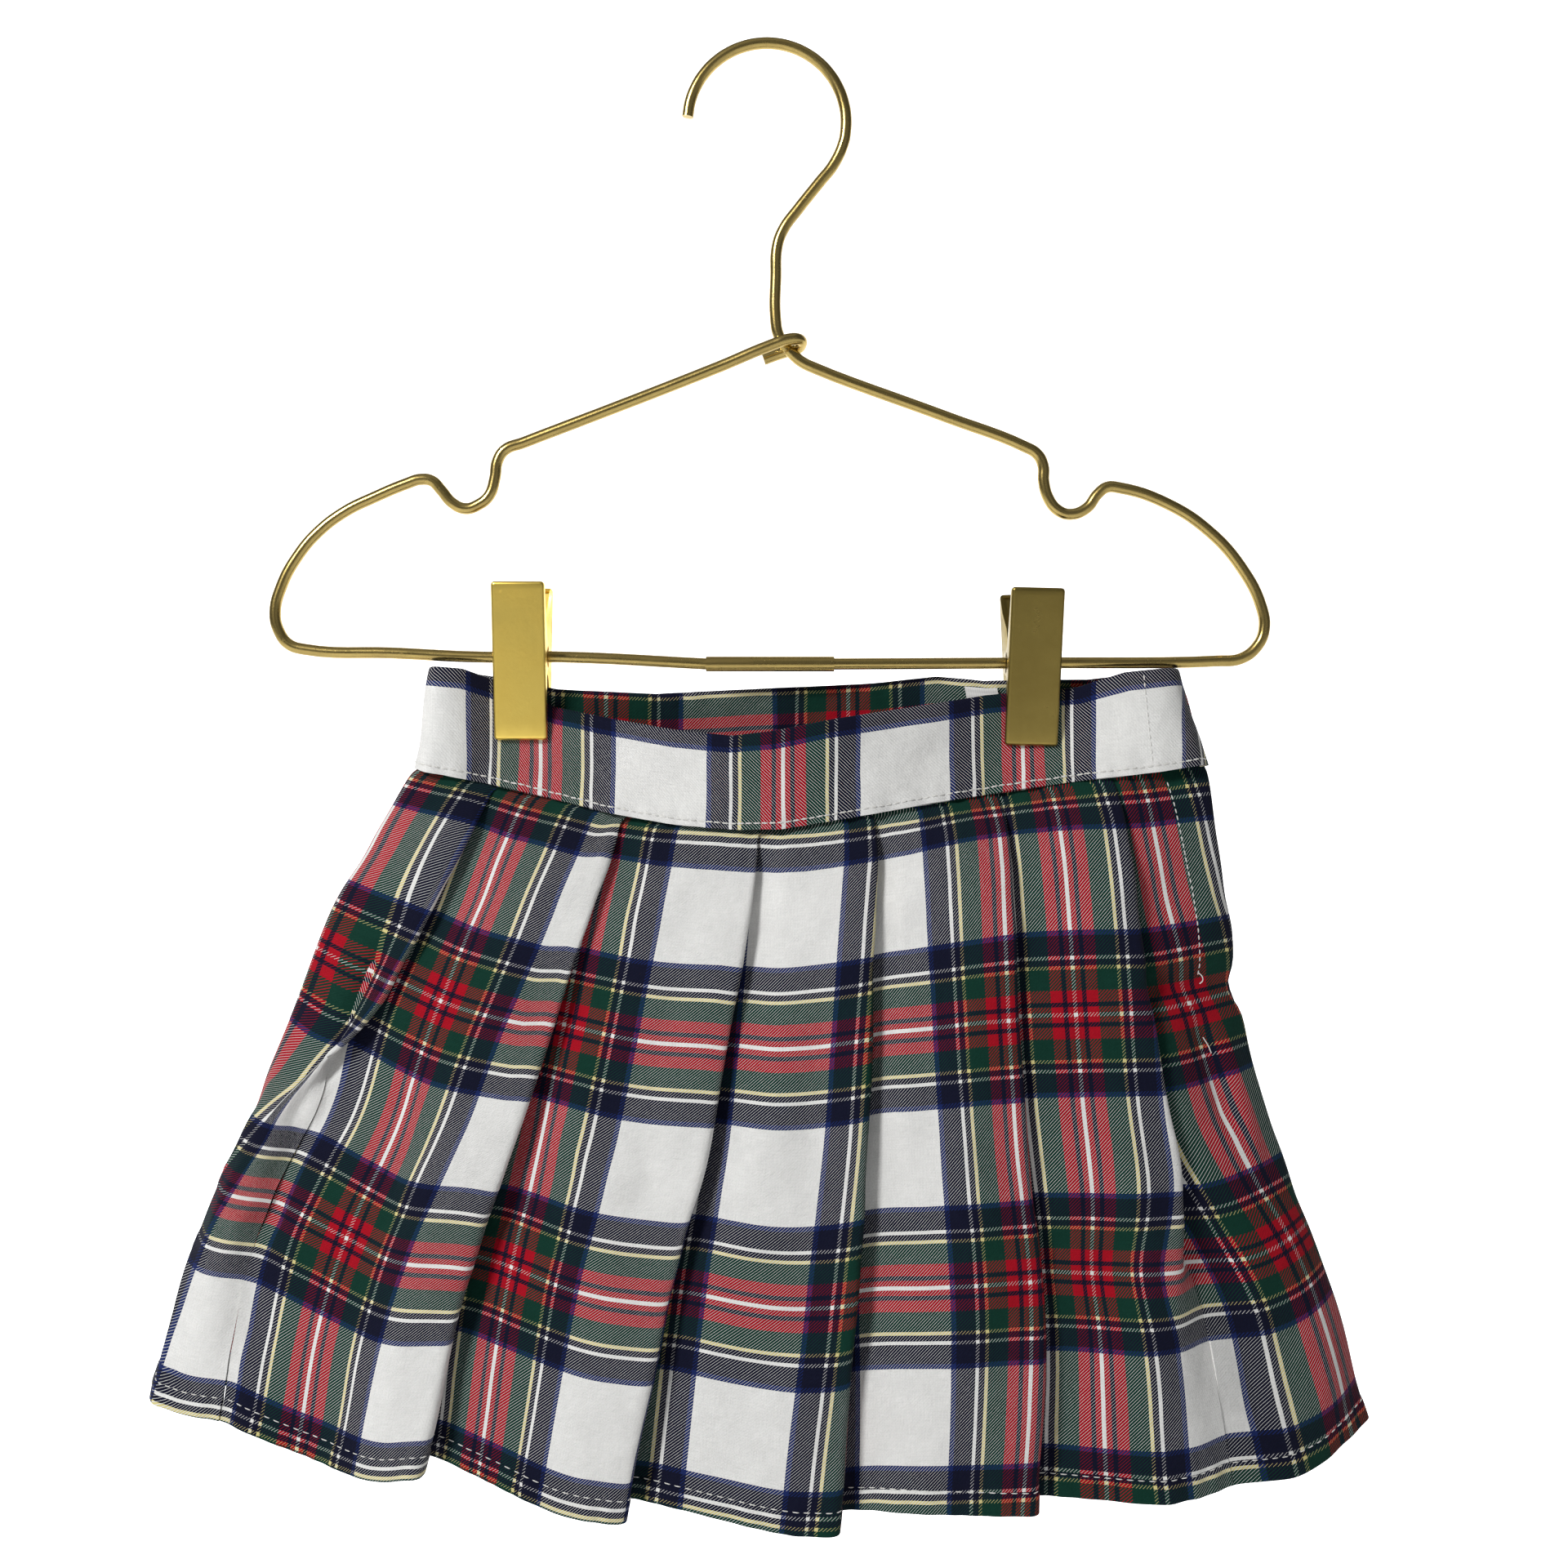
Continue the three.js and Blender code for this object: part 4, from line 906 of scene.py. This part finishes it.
def makeBand(name, front):
    gap = band["sideSeam"] * 0.35
    q = np.linspace(gap, 1 - gap, bandLook["columns"]) + (0 if front else 1)
    g = (1 - np.cos(np.pi * np.linspace(0, 1, bandLook["rows"]))) / 2 * (1 + bandLook["hem"] / band["depth"])
    qs, gs = np.meshgrid(q, g)
    points = bandPoint(qs, gs)
    runs = np.linalg.norm(np.diff(points, axis=1), axis=2)
    gone = np.concatenate([np.zeros((len(g), 1)), np.cumsum(runs, axis=1)], axis=1)
    x = points[..., 0]
    if front:
        along = np.interp(x, column(bandLook["frontYarns"], 0), column(bandLook["frontYarns"], 1))
        downwards = bandLook["frontTop"] + bandLook["frontSlope"] * gs * band["depth"] / yarn
    else:
        along = (bandLook["backWhite"] - x) / yarn
        downwards = bandLook["backTop"] + gs * band["depth"] / yarn
    depth = gs * band["depth"]
    toSeam = band["depth"] + bandLook["hem"] - depth
    pucker = np.sin(gone / 1.25 + 1.8 * np.sin(gone / 6.7)) * np.exp(-((toSeam - 1.2) / 3.2) ** 2)
    soft = np.sin(gone / 8.7 + 1.1 * np.sin(depth / 6)) * np.sin(depth / 9 + 0.8)
    soft += 0.6 * np.sin(gone / 4.1 + depth / 5.3)
    relief = bandLook["pucker"] * pucker + 0.3 * soft
    facing = np.abs(gridNormals(points)[..., 1])
    relief += bandLook["flare"] * facing ** 2 * smooth((depth - 15) / 12)
    if not front:
        gather = np.sin(gone / 1.7 + 2.2 * np.sin(gone / 8.3)) * (0.6 + 0.4 * np.sin(gone / 4.7))
        relief += bandLook["topPucker"] * gather * np.exp(-((depth / 4.5) ** 2))
    relief -= bandLook["dip"] * np.exp(-((toSeam - bandLook["stitchUp"]) / 0.45) ** 2)
    points += gridNormals(points) * relief[..., None]
    fromEdge = np.minimum(depth, toSeam)
    roundness = np.sqrt(1 - (1 - np.clip(fromEdge / bandLook["edgeRound"], 0, 1)) ** 2)
    wall = band["wall"] * mix(np.where(toSeam < depth, bandLook["lowEdge"], 0.25), 1, roundness)
    piece = {"points": points, "map": np.stack([along, downwards], axis=-1)}
    surfaces[name] = {"piece": piece, "wall": wall, "normals": gridNormals(points), "depth": depth}
    made = shell(f"cloth_{name}", piece, wall)
    settle(made, 60)
    give(made, bandCloth, "band_cloth", name)
    return made


makeBand("waistband_front", True)
makeBand("waistband_back", False)
print("waistband made")


# Hanger wire

wire = {"radius": 1.75, "sleeve": 2.3, "gap": 0.3, "steps": 6, "roundness": 5}
hook = {"centreX": -1, "centreZ": -22.05, "radius": 23.8, "tipAngle": 176, "endAngle": -8, "steps": 16}
stem = [
    (22.1, 0, -27.9), (19.1, 0, -34.6), (14.9, 0, -39.9), (8.2, 0, -48.3), (4.2, 0, -53.7),
    (2.2, 0, -58.8), (1.7, 0, -68.6), (1.6, 0, -80.4), (2.6, 0, -86), (5.5, 0, -90.3),
]
leftArm = [
    (-74.6, 0, -182.4), (-87, 0, -182.4), (-113, 0, -181.2), (-139.6, 0, -180.1), (-144.3, 0, -178.6),
    (-147.2, 0, -174.9), (-148.5, 0, -169.3), (-146.5, 0, -161), (-141.9, 0, -152.4), (-135.7, 0, -145),
    (-127.4, 0, -138.7), (-118.8, 0, -134.5), (-108.8, 0, -130.3), (-104.9, 0, -129.1), (-101.4, 0, -129.6),
    (-98.7, 0, -132.3), (-95.3, 0, -136.2), (-91.4, 0, -137.9), (-87.5, 0, -136.7),
    (-84.3, 0, -134), (-82.6, 0, -128.9), (-81.8, 0, -123.7), (-79.6, 0, -120.3), (-74, 0, -118.1),
    (-15.4, -2.8, -96), (0.5, -3.9, -89.6), (5.6, -3.8, -87.9), (8.7, -2.1, -87.6), (9.4, 0.4, -88.3),
    (8, 2.9, -89.4), (4, 4.1, -90.2), (-2, 4.1, -92.3),
]
rightArm = [
    (5.8, 0, -90.6), (9.1, 0, -93.6), (14, 0, -96), (53.2, 0, -110.5), (76.4, 0, -119.3),
    (80.2, 0, -121.6), (81.9, 0, -125), (82.1, 0, -129.9), (83.5, 0, -134.8), (86.4, 0, -138.4),
    (90.2, 0, -139.6), (95, 0, -137.7), (98.2, 0, -133.6), (101, 0, -131.5), (104.6, 0, -131.6),
    (119.3, 0, -136.5), (131.6, 0, -144.6), (141.4, 0, -155.6), (147.5, 0, -167.8), (148.2, 0, -174),
    (146.3, 0, -178.9), (141.4, 0, -182.8), (134, 0, -183.6), (78.8, 0, -184.2),
]


def bentWire(name, places, radius, steps=6):
    # A smooth curve through the places, given a round section and made a mesh.
    bpy.ops.object.select_all(action="DESELECT")
    bpy.ops.curve.primitive_bezier_curve_add()
    line = bpy.context.object
    line.name = name
    curve = line.data
    curve.splines.clear()
    spline = curve.splines.new("BEZIER")
    spline.bezier_points.add(len(places) - 1)
    for point, place in zip(spline.bezier_points, places):
        point.co = Vector(place) * mm
        point.handle_left_type = "AUTO"
        point.handle_right_type = "AUTO"
    curve.dimensions = "3D"
    curve.resolution_u = steps
    curve.bevel_depth = radius * mm
    curve.bevel_resolution = wire["roundness"]
    curve.use_fill_caps = True
    pick(line)
    bpy.ops.object.convert(target="MESH")
    return bpy.context.object


def roundCaps(piece, offset):
    choose(piece, "FACE", lambda face: len(face.vertices) > 4)
    bpy.ops.mesh.region_to_loop()
    bpy.ops.mesh.bevel(offset=offset * mm, segments=3)
    bpy.ops.object.mode_set(mode="OBJECT")


def outwards(piece):
    pick(piece)
    bpy.ops.object.mode_set(mode="EDIT")
    bpy.ops.mesh.select_all(action="SELECT")
    bpy.ops.mesh.remove_doubles(threshold=0.000001)
    bpy.ops.mesh.normals_make_consistent(inside=False)
    bpy.ops.object.mode_set(mode="OBJECT")


def makeWire(name, node, places, radius, cap=0.5):
    piece = bentWire(name, places, radius, wire["steps"])
    roundCaps(piece, cap)
    outwards(piece)
    settle(piece, 50)
    give(piece, wireGold, "wire_gold", node)


def hookPlaces():
    places = []
    for i in range(hook["steps"] + 1):
        turn = math.radians(mix(hook["tipAngle"], hook["endAngle"], i / hook["steps"]))
        x = hook["centreX"] + hook["radius"] * math.cos(turn)
        places.append((x, 0, hook["centreZ"] + hook["radius"] * math.sin(turn)))
    return places + stem


clips = {
    "width": 15.8, "length": 46.6, "sheet": 0.9, "above": 21.6, "topSpread": 12.4, "jawSpread": 4.7,
    "rim": 1.25, "earReach": 2.9, "earInset": 1.3,
    # height on the lever and how far its side flanges reach back from the plate
    "flange": [(-25, 1.5), (-16, 2.2), (-5.5, 3.6), (-4.2, 5.4), (4.6, 6.7), (15.6, 3.2), (21.6, 2.2)],
    "coil": {"radius": 3.05, "wire": 0.5, "turns": 8, "half": 5.3},
    "bossProfile": [(0, 3.3), (0.3, 3.3), (0.8, 2.85), (1.5, 2.4), (2.3, 2.15), (2.9, 2.05)],
    "places": {"left": (-74.3, -182.4, 0), "right": (78.5, -184.2, -1.5)},
}
barHeights = {"left": -182.4, "right": -184.2, "middle": -184.5, "sleeveHalf": 18.4}

makeWire("wire_hook", "hanger_hook", hookPlaces(), wire["radius"], 1.0)
makeWire("wire_arm_left", "hanger_arm_left", leftArm, wire["radius"], 0.8)
makeWire("wire_arm_right", "hanger_arm_right", rightArm, wire["radius"])
sleeveEnd = barHeights["sleeveHalf"]
sleeveOver = sleeveEnd + wire["gap"] + 0.5
leftX, leftZ = clips["places"]["left"][:2]
rightX, rightZ = clips["places"]["right"][:2]
makeWire("wire_bar_left", "hanger_bar_left",
         [(leftX, 0, leftZ), (leftX + 12, 0, leftZ), (-sleeveEnd - wire["gap"], 0, barHeights["middle"])],
         wire["radius"])
makeWire("wire_bar_right", "hanger_bar_right",
         [(sleeveEnd + wire["gap"], 0, barHeights["middle"]), (rightX, 0, rightZ)], wire["radius"])
makeWire("wire_sleeve", "hanger_sleeve",
         [(-sleeveOver, 0, barHeights["middle"]), (sleeveOver, 0, barHeights["middle"])],
         wire["sleeve"], 0.35)
print("hanger wire made")


# Spring clips

def plateOut(z):
    # Distance from the bar to the plate's outer face at a height on the lever.
    bottom = clips["above"] - clips["length"]
    return mix(clips["jawSpread"], clips["topSpread"], (z - bottom) / clips["length"])


def flangeReach(z, narrow):
    reach = float(np.interp(z, column(clips["flange"], 0), column(clips["flange"], 1)))
    if abs(z) < clips["earReach"]:
        reach = plateOut(z) + math.sqrt(clips["earReach"] ** 2 - z * z)
    return reach


def makeLever(side, part):
    # A tray with no back, beaten from one sheet: its side flanges widen into the ears round the bar.
    name = f"clip_{side}_{part}"
    back = part == "back"
    deep = 2.0
    bpy.ops.object.select_all(action="DESELECT")
    middle = (0, deep / 2 * mm, (clips["above"] - clips["length"] / 2) * mm)
    bpy.ops.mesh.primitive_cube_add(size=1, location=middle)
    piece = bpy.context.object
    piece.name = f"plate_{side}_{part}"
    piece.scale = (clips["width"] * mm, deep * mm, clips["length"] * mm)
    bpy.ops.object.transform_apply(location=True, rotation=True, scale=True)
    mesh = piece.data
    choose(piece, "FACE", lambda face: face.normal.y > 0.5)
    bpy.ops.mesh.delete(type="FACE")
    bpy.ops.object.mode_set(mode="OBJECT")
    choose(piece, "EDGE", lambda edge: min(mesh.vertices[i].co.y for i in edge.vertices) < 0.1 * mm)
    bpy.ops.mesh.bevel(offset=clips["rim"] * mm, segments=5, profile=0.55)
    stations = [-20, -16, -11, -7, -5.5, -4.2, -2.88, -2.7, -2.2, -1.5, -0.7, 0,
                0.7, 1.5, 2.2, 2.7, 2.88, 4.6, 7, 11, 15.6, 19]
    for z in stations:
        bpy.ops.mesh.select_all(action="SELECT")
        bpy.ops.mesh.bisect(plane_co=(0, 0, z * mm), plane_no=(0, 0, 1))
    bpy.ops.object.mode_set(mode="OBJECT")
    for vertex in mesh.vertices:
        z = vertex.co.z / mm
        if vertex.co.y > (deep - 0.05) * mm and abs(vertex.co.x) > (clips["width"] / 2 - 0.3) * mm:
            vertex.co.y = flangeReach(z, back) * mm
            if back:
                inset = smooth((flangeReach(z, back) - 2) / 3)
                vertex.co.x *= 1 - 2 * clips["earInset"] / clips["width"] * inset
        vertex.co.y -= plateOut(z) * mm
    thick = piece.modifiers.new("sheet", "SOLIDIFY")
    thick.thickness = clips["sheet"] * mm
    thick.offset = -1
    bpy.ops.object.modifier_apply(modifier="sheet")
    x, z, roll = clips["places"][side]
    piece.rotation_euler = (0, math.radians(-roll), math.pi if back else 0)
    piece.location = (x * mm, 0, z * mm)
    settle(piece, 35)
    give(piece, clipGoldLitAndShaded[side], "clip_gold", name)


def makeBoss(side, hand):
    # A flared collar between the ear and the bar, drawn upwards and laid along the bar.
    profile = clips["bossProfile"]
    bpy.ops.object.select_all(action="DESELECT")
    bpy.ops.mesh.primitive_circle_add(vertices=28, radius=profile[0][1] * mm, fill_type="NOTHING")
    piece = bpy.context.object
    piece.name = f"collar_{side}_{hand}"
    choose(piece, "VERT", lambda vertex: True)
    height, radius = profile[0]
    for nextHeight, nextRadius in [*profile[1:], (profile[-1][0], 1.82), (0, 1.82)]:
        bpy.ops.mesh.extrude_region_move(TRANSFORM_OT_translate={"value": (0, 0, (nextHeight - height) * mm)})
        ratio = nextRadius / radius
        bpy.ops.transform.resize(value=(ratio, ratio, 1), center_override=(0, 0, nextHeight * mm))
        height, radius = nextHeight, nextRadius
    bpy.ops.mesh.select_all(action="SELECT")
    bpy.ops.mesh.bridge_edge_loops()
    bpy.ops.object.mode_set(mode="OBJECT")
    way = 1 if hand == "right" else -1
    x, z, roll = clips["places"][side]
    piece.rotation_euler = (0, way * math.radians(90), 0)
    piece.location = ((x + way * (clips["width"] / 2 + wire["gap"])) * mm, 0, z * mm)
    outwards(piece)
    settle(piece, 30)
    give(piece, clipGoldLitAndShaded[side], "clip_gold", f"clip_{side}_boss_{hand}")


def makeCoil(side):
    coil = clips["coil"]
    x, z, roll = clips["places"][side]
    steps = coil["turns"] * 12
    places = []
    for i in range(steps + 1):
        turn = 2 * math.pi * i / 12
        along = mix(-coil["half"], coil["half"], i / steps)
        places.append((x + along, coil["radius"] * math.cos(turn), z + coil["radius"] * math.sin(turn)))
    piece = bentWire(f"coil_{side}", places, coil["wire"], 2)
    outwards(piece)
    settle(piece, 50)
    give(piece, steelGrey, "clip_gold", f"clip_{side}_spring")


for side in ("left", "right"):
    for part in ("front", "back"):
        makeLever(side, part)
    for hand in ("left", "right"):
        makeBoss(side, hand)
    makeCoil(side)
print("clips made")


# Elastic tape inside the back of the band

tape = {
    "from": 63.3, "to": 73.5, "drop": 2.5, "width": 18, "wall": 0.9,
    "rows": 40, "columns": 40, "ribs": 9, "rib": 0.1,
}


def makeTape():
    xs = np.linspace(tape["to"], tape["from"], tape["columns"])
    gs = (tape["drop"] + np.linspace(0, tape["width"], tape["rows"])) / band["depth"]
    q = qOfX(xs, band["leftSeam"], band["rightSeam"], False)
    grid = bandPoint(*np.meshgrid(q, gs))
    grid[..., 1] -= band["wall"] / 2 + wire["gap"] + tape["wall"] / 2
    along, down = np.meshgrid((tape["to"] - xs), gs * band["depth"])
    ribs = tape["rib"] * np.cos(2 * np.pi * tape["ribs"] * down / tape["width"])
    grid += gridNormals(grid) * ribs[..., None]
    piece = {"points": grid, "map": np.stack([along, down], axis=-1) * mapScale}
    made = shell("tape_elastic", piece, np.full(grid.shape[:2], tape["wall"]))
    settle(made, 60)
    give(made, whiteElastic, "elastic", "adjuster_elastic")


makeTape()


# Sewing

stitchShape = {
    "rings": [(-1, 0.35), (-0.55, 1), (0.55, 1), (1, 0.35)], "sides": 5,
    "lookAhead": 0.3,  # millimetres to the spot that gives a stitch its direction
}


def stitchRow(name, centres, alongs, normals, length, radius, slot):
    # Short threads that lie on the cloth, each a spindle of a few faces.
    points = []
    faces = []
    sides = stitchShape["sides"]
    for centre, along, normal in zip(centres, alongs, normals):
        along = along / np.linalg.norm(along)
        normal = normal - along * np.dot(along, normal)
        normal = normal / np.linalg.norm(normal)
        beside = np.cross(along, normal)
        start = len(points)
        for place, size in stitchShape["rings"]:
            middle = centre + along * place * length / 2 + normal * radius * (size - 0.7)
            for k in range(sides):
                turn = 2 * math.pi * k / sides
                points.append(middle + (normal * math.cos(turn) + beside * math.sin(turn)) * radius * size)
        for ring in range(len(stitchShape["rings"]) - 1):
            for k in range(sides):
                a = start + ring * sides + k
                b = start + ring * sides + (k + 1) % sides
                faces.append((a, b, b + sides, a + sides))
        faces.append(tuple(start + k for k in reversed(range(sides))))
        faces.append(tuple(start + 3 * sides + k for k in range(sides)))
    made = meshObject(name, points, faces)
    outwards(made)
    settle(made, 60)
    give(made, whiteThread, slot)


def readLine(at, gone, line):
    return np.stack([np.interp(at, gone, line[:, k]) for k in range(3)], axis=1)


def rowAlong(surface, level, step, keep=None):
    # Places on the outer face along one level of a surface, a step apart.
    piece = surface["piece"]
    points = piece["points"] + surface["normals"] * (surface["wall"] / 2)[..., None]
    rows = np.clip(level, 0, points.shape[0] - 1.001)
    low = int(rows)
    line = mix(points[low], points[low + 1], rows - low)
    normals = surface["normals"][low]
    runs = np.linalg.norm(np.diff(line, axis=0), axis=1)
    gone = np.concatenate([[0], np.cumsum(runs)])
    spots = np.arange(step * 0.6, gone[-1] - step * 0.5, step)
    centres = readLine(spots, gone, line)
    along = readLine(spots + stitchShape["lookAhead"], gone, line) - centres
    normal = readLine(spots, gone, normals)
    good = np.linalg.norm(along, axis=1) > 0.05
    if keep is not None:
        good &= np.interp(spots, gone, keep[low]) < 0.5
    return centres[good], along[good], normal[good]


for name in pieceEnds:
    surface = surfaces[name]
    toHem = (surface["piece"]["length"] - surface["piece"]["depth"]).mean(axis=1)
    level = np.interp(-hemStitch["above"], -toHem, np.arange(len(toHem)))
    found = rowAlong(surface, level, hemStitch["step"], surface["piece"]["hidden"])
    stitchRow(f"hem_stitches_{name}", *found, hemStitch["length"], hemStitch["radius"], "skirt_cloth")


def seamDown(surface, spots):
    # Places on the outer face along a line of given warp and weft counts.
    piece = surface["piece"]
    points = piece["points"] + surface["normals"] * (surface["wall"] / 2)[..., None]
    warp, weft = piece["map"][..., 0], piece["map"][..., 1]
    rows = []
    for i in range(len(points)):
        at = np.interp(weft[i, len(weft[i]) // 2], column(spots, 1), column(spots, 0))
        rows.append([np.interp(at, warp[i], layer[i]) for layer in (
            points[..., 0], points[..., 1], points[..., 2],
            surface["normals"][..., 0], surface["normals"][..., 1], surface["normals"][..., 2], weft)])
    return np.array(rows)


def stitchDown(name, surface, spots, step, length, radius, slot):
    rows = seamDown(surface, spots)
    keep = (rows[:, 6] >= spots[0][1]) & (rows[:, 6] <= spots[-1][1])
    line, normals = rows[keep, :3], rows[keep, 3:6]
    gone = np.concatenate([[0], np.cumsum(np.linalg.norm(np.diff(line, axis=0), axis=1))])
    at = np.arange(step / 2, gone[-1], step)
    centres = readLine(at, gone, line)
    along = readLine(at + stitchShape["lookAhead"], gone, line) - centres
    normal = readLine(at, gone, normals)
    stitchRow(name, centres, along, normal, length, radius, slot)
    return centres, normal


centres, normals = stitchDown("placket_stitches", surfaces["skirt_side_right"],
                              [(186, -112), (187, 20), (183, 66), (176, 112), (174, 124)],
                              2.1, 1.5, 0.2, "skirt_cloth")
stitchDown("band_end_stitches", surfaces["waistband_front"],
           [(935, -78), (948, 30)], 2.2, 1.6, 0.2, "band_cloth")
tail = seamDown(surfaces["skirt_side_right"], [(158, 192), (164, 222)])
tail = tail[(tail[:, 6] > 188) & (tail[:, 6] < 226)]
curl = [(0, 0.3, 0), (0.7, 0.9, -0.8), (0.9, 0.9, -2.0), (0.2, 0.5, -3.1)]
threads = [[centres[-1] + normals[-1] * out + np.array([aside, 0, up]) for aside, out, up in curl],
           [row[:3] + row[3:6] * 0.7 + np.array([0.4 * (k % 2), 0, 0]) for k, row in enumerate(tail)]]
for i, line in enumerate(threads):
    places = [tuple(place) for place in line]
    thread = bentWire(f"loose_thread_{i + 1}", places, 0.16, 4)
    outwards(thread)
    settle(thread, 60)
    give(thread, whiteThread, "skirt_cloth")
for name in ("waistband_front", "waistband_back"):
    surface = surfaces[name]
    height = band["depth"] + bandLook["hem"] - bandLook["stitchUp"]
    level = np.interp(height, surface["depth"][:, 0], np.arange(bandLook["rows"]))
    found = rowAlong(surface, level, 2.35)
    stitchRow(f"seam_stitches_{name}", *found, 2.0, 0.24, "band_cloth")
print("sewing made")


# Studio

def makeStage():
    # A pale floor that turns up into a wall far behind the hanger. It glows faintly in front and strongly far
    # back, as painted light that keeps the backdrop white and also lights the scene.
    profile = [(-2.6, 0), (1.3, 0), (1.6, 0.06), (1.85, 0.22), (2.0, 0.5), (2.05, 0.9), (2.05, 3.2)]
    floor = -0.75
    points = [(x / mm, y / mm, (floor + z) / mm) for y, z in profile for x in (-4, 4)]
    faces = [(2 * i, 2 * i + 1, 2 * i + 3, 2 * i + 2) for i in range(len(profile) - 1)]
    stage = meshObject("studio_floor", points, faces)
    settle(stage, 60)
    board = NodeBoard("studioPaper")
    paper = board.noise(board.put("ShaderNodeTexCoord").outputs["Object"], 3.0, 2.0)
    white, duller = (0.93, 0.93, 0.93, 1), (0.9, 0.9, 0.9, 1)
    board.set(Base_Color=board.blend(board.range(paper, 0.3, 0.7, 0, 0.3), white, duller))
    place = board.put("ShaderNodeTexCoord").outputs["Object"]
    away = board.put("ShaderNodeSeparateXYZ", {0: place}).outputs["Y"]
    # Painted light: the floor and wall glow more the farther back they lie.
    paintedBackdropGlow = board.range(away, 0.15, 0.8, 0.2, 0.93)
    board.set(Roughness=0.9, Specular_IOR_Level=0.1, Emission_Color=(1, 1, 1, 1), Emission_Strength=paintedBackdropGlow)
    stage.data.materials.append(board.material)


lamps = {  # place, aimed at, size and watts
    "key": {"at": (-0.86, -1.0, 0.58), "to": (0.0, 0.0, -0.3), "size": 0.3, "watts": 20.0},
    "fill": {"at": (0.9, -1.5, -0.1), "to": (0.0, 0.0, -0.3), "size": 1.4, "watts": 0.8},
    "top": {"at": (0.0, -0.3, 1.0), "to": (0.0, 0.0, -0.2), "size": 1.2, "watts": 0.8},
    "back": {"at": (0.3, 1.0, 0.7), "to": (0.0, 1.9, -0.2), "size": 1.6, "watts": 5},
}


def placeLamps():
    for name, lamp in lamps.items():
        bpy.ops.object.light_add(type="AREA", location=lamp["at"])
        light = bpy.context.object
        light.name = f"{name}Light"
        light.data.energy = lamp["watts"]
        light.data.size = lamp["size"]
        aim = Vector(lamp["to"]) - Vector(lamp["at"])
        light.rotation_euler = aim.to_track_quat("-Z", "Y").to_euler()
    world = bpy.data.worlds.new("studioAir")
    bpy.context.scene.world = world
    world.use_nodes = True
    world.node_tree.nodes["Background"].inputs["Color"].default_value = (0.95, 0.97, 1.0, 1)
    world.node_tree.nodes["Background"].inputs["Strength"].default_value = 0.1
    bpy.context.scene.view_settings.view_transform = "Standard"


makeStage()
placeLamps()
bpy.ops.object.select_all(action="DESELECT")
print("studio made")
